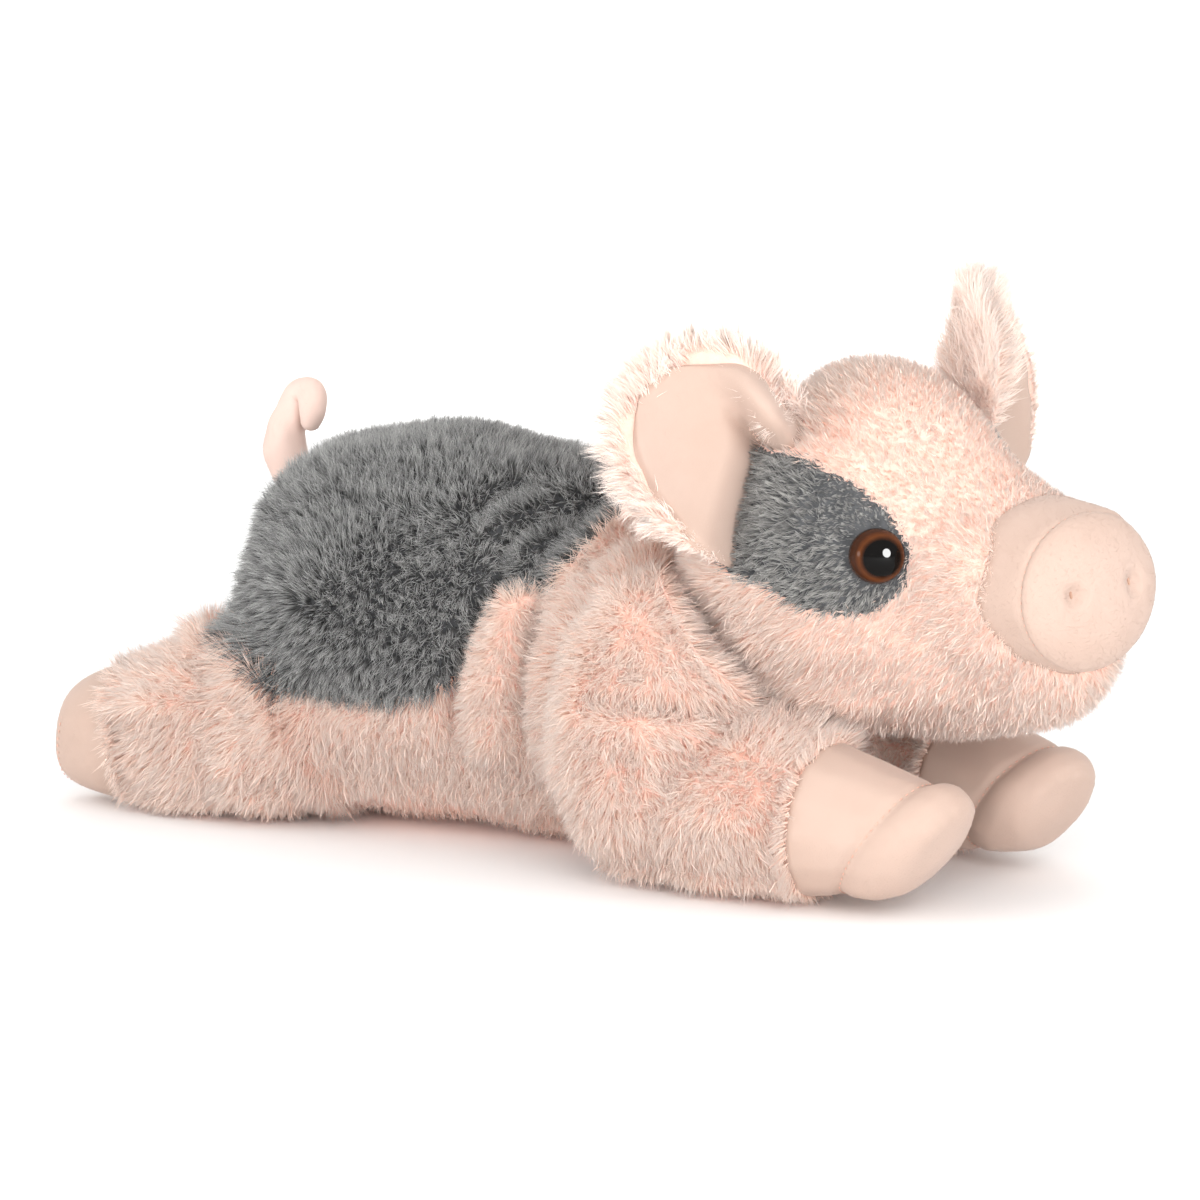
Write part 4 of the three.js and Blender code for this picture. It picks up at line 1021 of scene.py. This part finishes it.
def sole_seam(leg):
    """Points round the hoof where the sole is sewn on."""
    ring = leg.points[(np.abs(leg.seam) < 0.9) & (leg.cuff > 2)]
    centre = ring.mean(0)
    up = np.cross(leg.sole, leg.across)
    off = ring - centre
    angle = np.arctan2(off @ up, off @ leg.across)
    reach = np.linalg.norm(off - (off @ leg.sole)[:, None] * leg.sole, axis=1)
    places, count = [], 72
    for k in range(count):
        a = -math.pi + 2 * math.pi * (k + 0.5) / count
        away = np.abs((angle - a + math.pi) % (2 * math.pi) - math.pi)
        r = np.average(reach, weights=bell(away, 0.09)) + 0.02
        places.append(centre + (leg.across * math.cos(a) + up * math.sin(a)) * r)
    return np.array(places)


def dress_leg(number, name, leg):
    plush_cover(name, leg, LEG_NODES[name], velour, leg.cuff)
    comb = leg.along * 0.45 + vec(0, 0, -0.8) + 0.25 * wave(leg.points, 26, 51 + number, 3)
    comb = comb + leg.along * 1.2 * smooth(leg.cuff, -14, -2)[:, None]
    under = leg.underside(16, 12)
    length = (5.3 - 2.6 * under) * leg.half_open * (1.7 - 0.7 * leg.free)
    length = length * (1 + 0.1 * smooth(leg.cuff, -10, 0))
    cover = leg.half_open * (1 - smooth(leg.cuff, -0.6, 0.4)) * (1 - 0.5 * under)
    coats = [("", cover, length, 110 + number, pink_fur, {})]
    coat(name, leg, comb, LONG_PILE, coats, lean=38 * (0.6 + 0.4 * leg.free), fold=leg.fold)
    cover = smooth(leg.cuff, 0, 1.5) * (1 - 0.8 * bell(leg.seam, 0.7))
    nap(f"{name}_hoof_nap", leg, cover, comb, 120 + number, name)
    stitches(f"{name}_seam", name, sole_seam(leg), 1.9, 1.05, 0.15)


# Snout: places ahead of the head's middle and radii, from the drum over the seam to the disc's middle
SNOUT_PROFILE = [
    (40, 17.0), (43, 18.2), (46, 19.0), (49, 19.35), (52, 19.4), (55, 19.1), (57.5, 18.7), (59.5, 18.25),
    (60.8, 17.9), (61.4, 17.5), (61.7, 17.3), (62.1, 17.55), (62.8, 17.6), (63.7, 17.2), (64.8, 16.4),
    (65.9, 15.2), (66.9, 13.7), (67.8, 12.0), (68.5, 10.3), (69.05, 8.5), (69.4, 6.8), (69.62, 5.2),
    (69.74, 3.6), (69.79, 1.8), (69.8, 0.4), (69.8, 0.02),
]
SNOUT_SEAM, SNOUT_SEAM_RADIUS = 61.7, 17.3
SNOUT_SIDES = 96


def build_snout():
    """A velour drum with a domed disc sewn on, and two nostrils pulled in by a stitch of thread."""
    ahead, radius = np.array(SNOUT_PROFILE).T
    # The rings lie closer where the nostrils are
    close = np.arange(12.5, 3.0, -0.6)
    outer, inner = radius > 12.6, radius < 3.2
    between = np.interp(close, radius[::-1][:12], ahead[::-1][:12])
    ahead = np.concatenate([ahead[outer], between, ahead[inner]])
    radius = np.concatenate([radius[outer], close, radius[inner]])
    angle = np.tile(angles(SNOUT_SIDES), len(radius))
    ahead, radius = np.repeat(ahead, SNOUT_SIDES), np.repeat(radius, SNOUT_SIDES)
    points = np.stack([ahead, radius * np.sin(angle), radius * np.cos(angle)], 1)
    front = ahead > SNOUT_SEAM - 0.05
    pucker = 0.1 * np.sin(angle * 34) * bell(ahead - SNOUT_SEAM, 1.6)
    soft = 0.35 * wave(points, 17, 61)
    points[:, 1:] *= (1 + (pucker + soft * ~front) / np.maximum(radius, 3))[:, None]
    points[:, 0] += 0.3 * soft * front
    for y in NOSTRILS.values():
        off = np.hypot(points[:, 1] - y, (points[:, 2] - NOSTRIL_RISE) * 0.8)
        points[:, 0] -= front * (2.0 * bell(off, 1.9) + 0.7 * bell(off, 4.5))
    snout = Form(from_snout(points), round_quads(len(radius) // SNOUT_SIDES, SNOUT_SIDES))
    padded_skin("snout_velour", "head", "pink_velour", snout, [velour], ["snout_wall", "snout_disc"])
    ahead = in_snout(snout.points)[:, 0]
    comb = unit(snout.points - from_snout(vec(80, 0, 0)))
    cover = smooth(ahead, 43, 46) * (1 - 0.85 * bell(ahead - SNOUT_SEAM, 0.6))
    nap("snout_nap", snout, cover, comb, 131, "head")
    ring = circle(vec(SNOUT_SEAM, 0, 0), vec(0, 0, 1), vec(0, 1, 0), SNOUT_SEAM_RADIUS + 0.12, 120)
    stitches("snout_seam", "head", from_snout(ring), 1.7, 0.8, 0.1)
    for side, y in NOSTRILS.items():
        ends = from_snout(np.array([(66.8, y, 0.9), (66.75, y, 1.5), (66.7, y, 2.1)]))
        pulled = tube(np.hstack([ends, [[0.25], [0.35], [0.25]]]), 10, 8)
        padded_skin(f"nostril_thread_{side}", "head", "thread", pulled, [nostril_thread],
                    [f"nostril_stitch_{side}"])


# Eyes: from the middle of the pupil to the rim
IRIS = shades((0.0, 8, 7, 7), (0.63, 9, 7, 6), (0.68, 46, 24, 11), (0.8, 92, 50, 24), (0.9, 76, 40, 19),
              (0.95, 40, 21, 12), (1.0, 12, 8, 7))
EYE_STEPS, EYE_SIDES, EYE_HEIGHT = 20, 48, 5.9
PUPIL_AHEAD = 1.6
FAR_EYE_DEPTH = 2.4


def eye_material():
    mat, tree, shader = material("eye_glass", 0.03, 0.0, 0.14)
    reach = tree.nodes.new("ShaderNodeAttribute")
    reach.attribute_name = "reach"
    iris = ramp(tree, reach.outputs["Fac"], IRIS)
    shade = ramp(tree, noise(tree, 420.0, 2.0), tints((0.3, 0.75, 0.72, 0.7), (0.7, 1, 1, 1)))
    multiply(tree, iris, shade, shader.inputs["Base Color"])
    return mat


def build_eye(side, mat):
    """A glossy dome whose pupil sits towards the nose."""
    place, facing = EYES[side]
    if side == "left":
        place = place - FAR_EYE_DEPTH * facing
    x = unit(np.cross(facing, vec(0, 0, 1)))
    y = np.cross(x, facing)
    profile = [(5.2, 0.4), (6.05, 0.7), (EYE_RADIUS, 1.2)]
    for k in range(1, EYE_STEPS):
        a = math.pi / 2 * k / EYE_STEPS
        profile.append((EYE_RADIUS * math.cos(a), 1.3 + (EYE_HEIGHT - 1.3) * math.sin(a)))
    profile.append((0.02, EYE_HEIGHT))
    rings, marks = [], []
    for radius, height in profile:
        ring = circle(place + facing * height, x, y, radius, EYE_SIDES)
        off = ring - place - HEAD_TURNED @ vec(PUPIL_AHEAD, 0, 0)
        pupil = np.linalg.norm(off - np.outer(off @ facing, facing), axis=1) / EYE_RADIUS
        rim = radius / EYE_RADIUS if height > 1.25 else 1.0
        rings.append(ring)
        marks.append(np.maximum(np.minimum(pupil, 0.93), smooth(rim, 0.93, 1.0)))
    obj = piece(f"eye_{side}_glass", "head", "eye_brown", np.concatenate(rings),
                round_quads(len(rings), EYE_SIDES), [mat], [f"eye_{side}_dome"])
    layer = obj.data.attributes.new("reach", "FLOAT", "POINT")
    layer.data.foreach_set("value", np.concatenate(marks).astype(np.float32))


# Tail: it rises from the rump, folds over and comes down in front of itself
TAIL_ROUTE = [
    (-95, 2.6, 81, 4.6), (-96.5, 0.7, 83.3, 5.2), (-98.5, -0.1, 87, 5.6), (-100, -0.3, 91.7, 5.6),
    (-99.7, 0.8, 97.1, 5.1), (-98.2, 2.3, 102.4, 4.6), (-96, 2.8, 106.2, 4.1), (-93, 2, 107, 3.8),
    (-90.6, 0.8, 104.7, 3.8), (-90, 0, 101.6, 3.5), (-90.7, -0.4, 99, 2.6),
]


def build_tail():
    tail = tube(TAIL_ROUTE, 24, 64)
    tail.push(0.3 * wave(tail.points, 8, 81))
    padded_skin("tail_velour", "tail", "pink_velour", tail, [tail_velour], ["tail"])
    comb = vec(0, 0, 0.6) + 0.8 * wave(tail.points, 10, 82, 3)
    nap("tail_nap", tail, np.ones(len(tail.points)), comb, 161, "tail", 0.6, tail_fuzz)


dress_torso()
neck = remeshed(["neck_core"], 1.5, 3)
padded_skin("neck_wad", "neck", "stuffing", neck, [wadding], ["neck_core"])
dress_head([tree for side in EARS for tree in build_ear(side)])
for number, (name, leg) in enumerate(legs.items()):
    dress_leg(number, name, leg)
build_snout()
eye_gloss = eye_material()
for side in EYES:
    build_eye(side, eye_gloss)
black = plain_material("eye_black", rgb(14, 12, 11), 0.3, 0.4)
washer = plain_material("washer_plastic", rgb(238, 238, 234), 0.45, 0.4)
for side in EYES:
    for part, mat in (("stem", black), ("washer", washer)):
        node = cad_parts[f"eye_{side}_{part}"]
        node.data.materials.clear()
        node.data.materials.append(mat)
build_tail()

# Studio, in degrees, and in metres but for the camera's distance, its target and the lamps' places
AZIMUTH, ELEVATION, DISTANCE = 34, 7.5, 825.0
TARGET = vec(0, 0, 58.7)
sideways, upwards = math.radians(AZIMUTH), math.radians(ELEVATION)
RIGHT = vec(math.cos(sideways), math.sin(sideways), 0)
BACK = vec(RIGHT[1] * math.cos(upwards), -RIGHT[0] * math.cos(upwards), math.sin(upwards))
ABOVE = np.cross(BACK, RIGHT)
FLOOR_HALF, FLOOR_BACK, FLOOR_BEND, FLOOR_TOP = 2.6, 1.6, 0.8, 3.2
# Right, up and back from the target, then size and power
LAMPS = {
    "key": ((450, 800, 600), 0.5, 0.7),
    "fill": ((-900, 350, 500), 0.9, 3.1),
    "rim": ((100, 900, -700), 0.8, 1.1),
    "table": ((150, -40, 480), 0.5, 0.8),
    "catch": ((395, 25, 760), 0.36, 26.0),
    "front": ((120, 100, 760), 0.6, 2.6),
    "catch_side": ((-1000, 20, 500), 0.3, 1.6),
    "backdrop_wash": ((0, 900, -900), 1.6, 22.0),
}


def build_floor():
    """A pale floor that bends up into a backdrop."""
    rows = [(-FLOOR_HALF, 0.0)] + [(y, 0.0) for y in np.linspace(-2, FLOOR_BACK, 8)]
    for t in np.linspace(0.15, math.pi / 2, 10):
        rows.append((FLOOR_BACK + FLOOR_BEND * math.sin(t), FLOOR_BEND * (1 - math.cos(t))))
    rows.append((FLOOR_BACK + FLOOR_BEND, FLOOR_TOP))
    around = turn((0, 0, 1), AZIMUTH)
    points = [around @ vec(x, y, z) / MM for y, z in rows for x in (-FLOOR_HALF, FLOOR_HALF)]
    quads = sheet_quads(np.arange(len(points)).reshape(-1, 2))
    pale = plain_material("floor", (0.93, 0.93, 0.93, 1), 0.8, 0.1)
    mesh_object("floor", np.array(points), quads, [pale])


def aimed(name, data, place, towards):
    obj = bpy.data.objects.new(name, data)
    obj.location = Vector(place * MM)
    obj.rotation_mode = "QUATERNION"
    obj.rotation_quaternion = Vector(towards).to_track_quat("-Z", "Y")
    scene.collection.objects.link(obj)
    return obj


def build_lamp(name, offset, size, power):
    data = bpy.data.lights.new(name, "AREA")
    data.shape = "DISK"
    data.size = size
    data.energy = power
    place = TARGET + RIGHT * offset[0] + ABOVE * offset[1] + BACK * offset[2]
    towards = ABOVE * 0.35 - BACK if name == "backdrop_wash" else TARGET - place
    obj = aimed(name, data, place, towards)
    # Only the two catch lamps show in the eyes, and the first of them lights nothing else
    obj.visible_glossy = name in ("catch", "catch_side")
    obj.visible_diffuse = name != "catch"
    obj.visible_camera = False


build_floor()
for name, (offset, size, power) in LAMPS.items():
    build_lamp(name, offset, size, power)

world = bpy.data.worlds.new("studio")
world.use_nodes = True
set_inputs(world.node_tree.nodes["Background"], {"Color": (1.0, 0.99, 0.98, 1), "Strength": 0.98})
scene.world = world

camera_data = bpy.data.cameras.new("camera")
camera_data.lens = 100.0
camera_data.sensor_width = 36.0
camera_data.clip_start, camera_data.clip_end = 0.01, 20.0
scene.camera = aimed("camera", camera_data, TARGET + BACK * DISTANCE, -BACK)
scene.view_settings.view_transform = "Standard"
# Light passes many times between pale fibres
scene.cycles.max_bounces = 16
scene.cycles.diffuse_bounces = 12
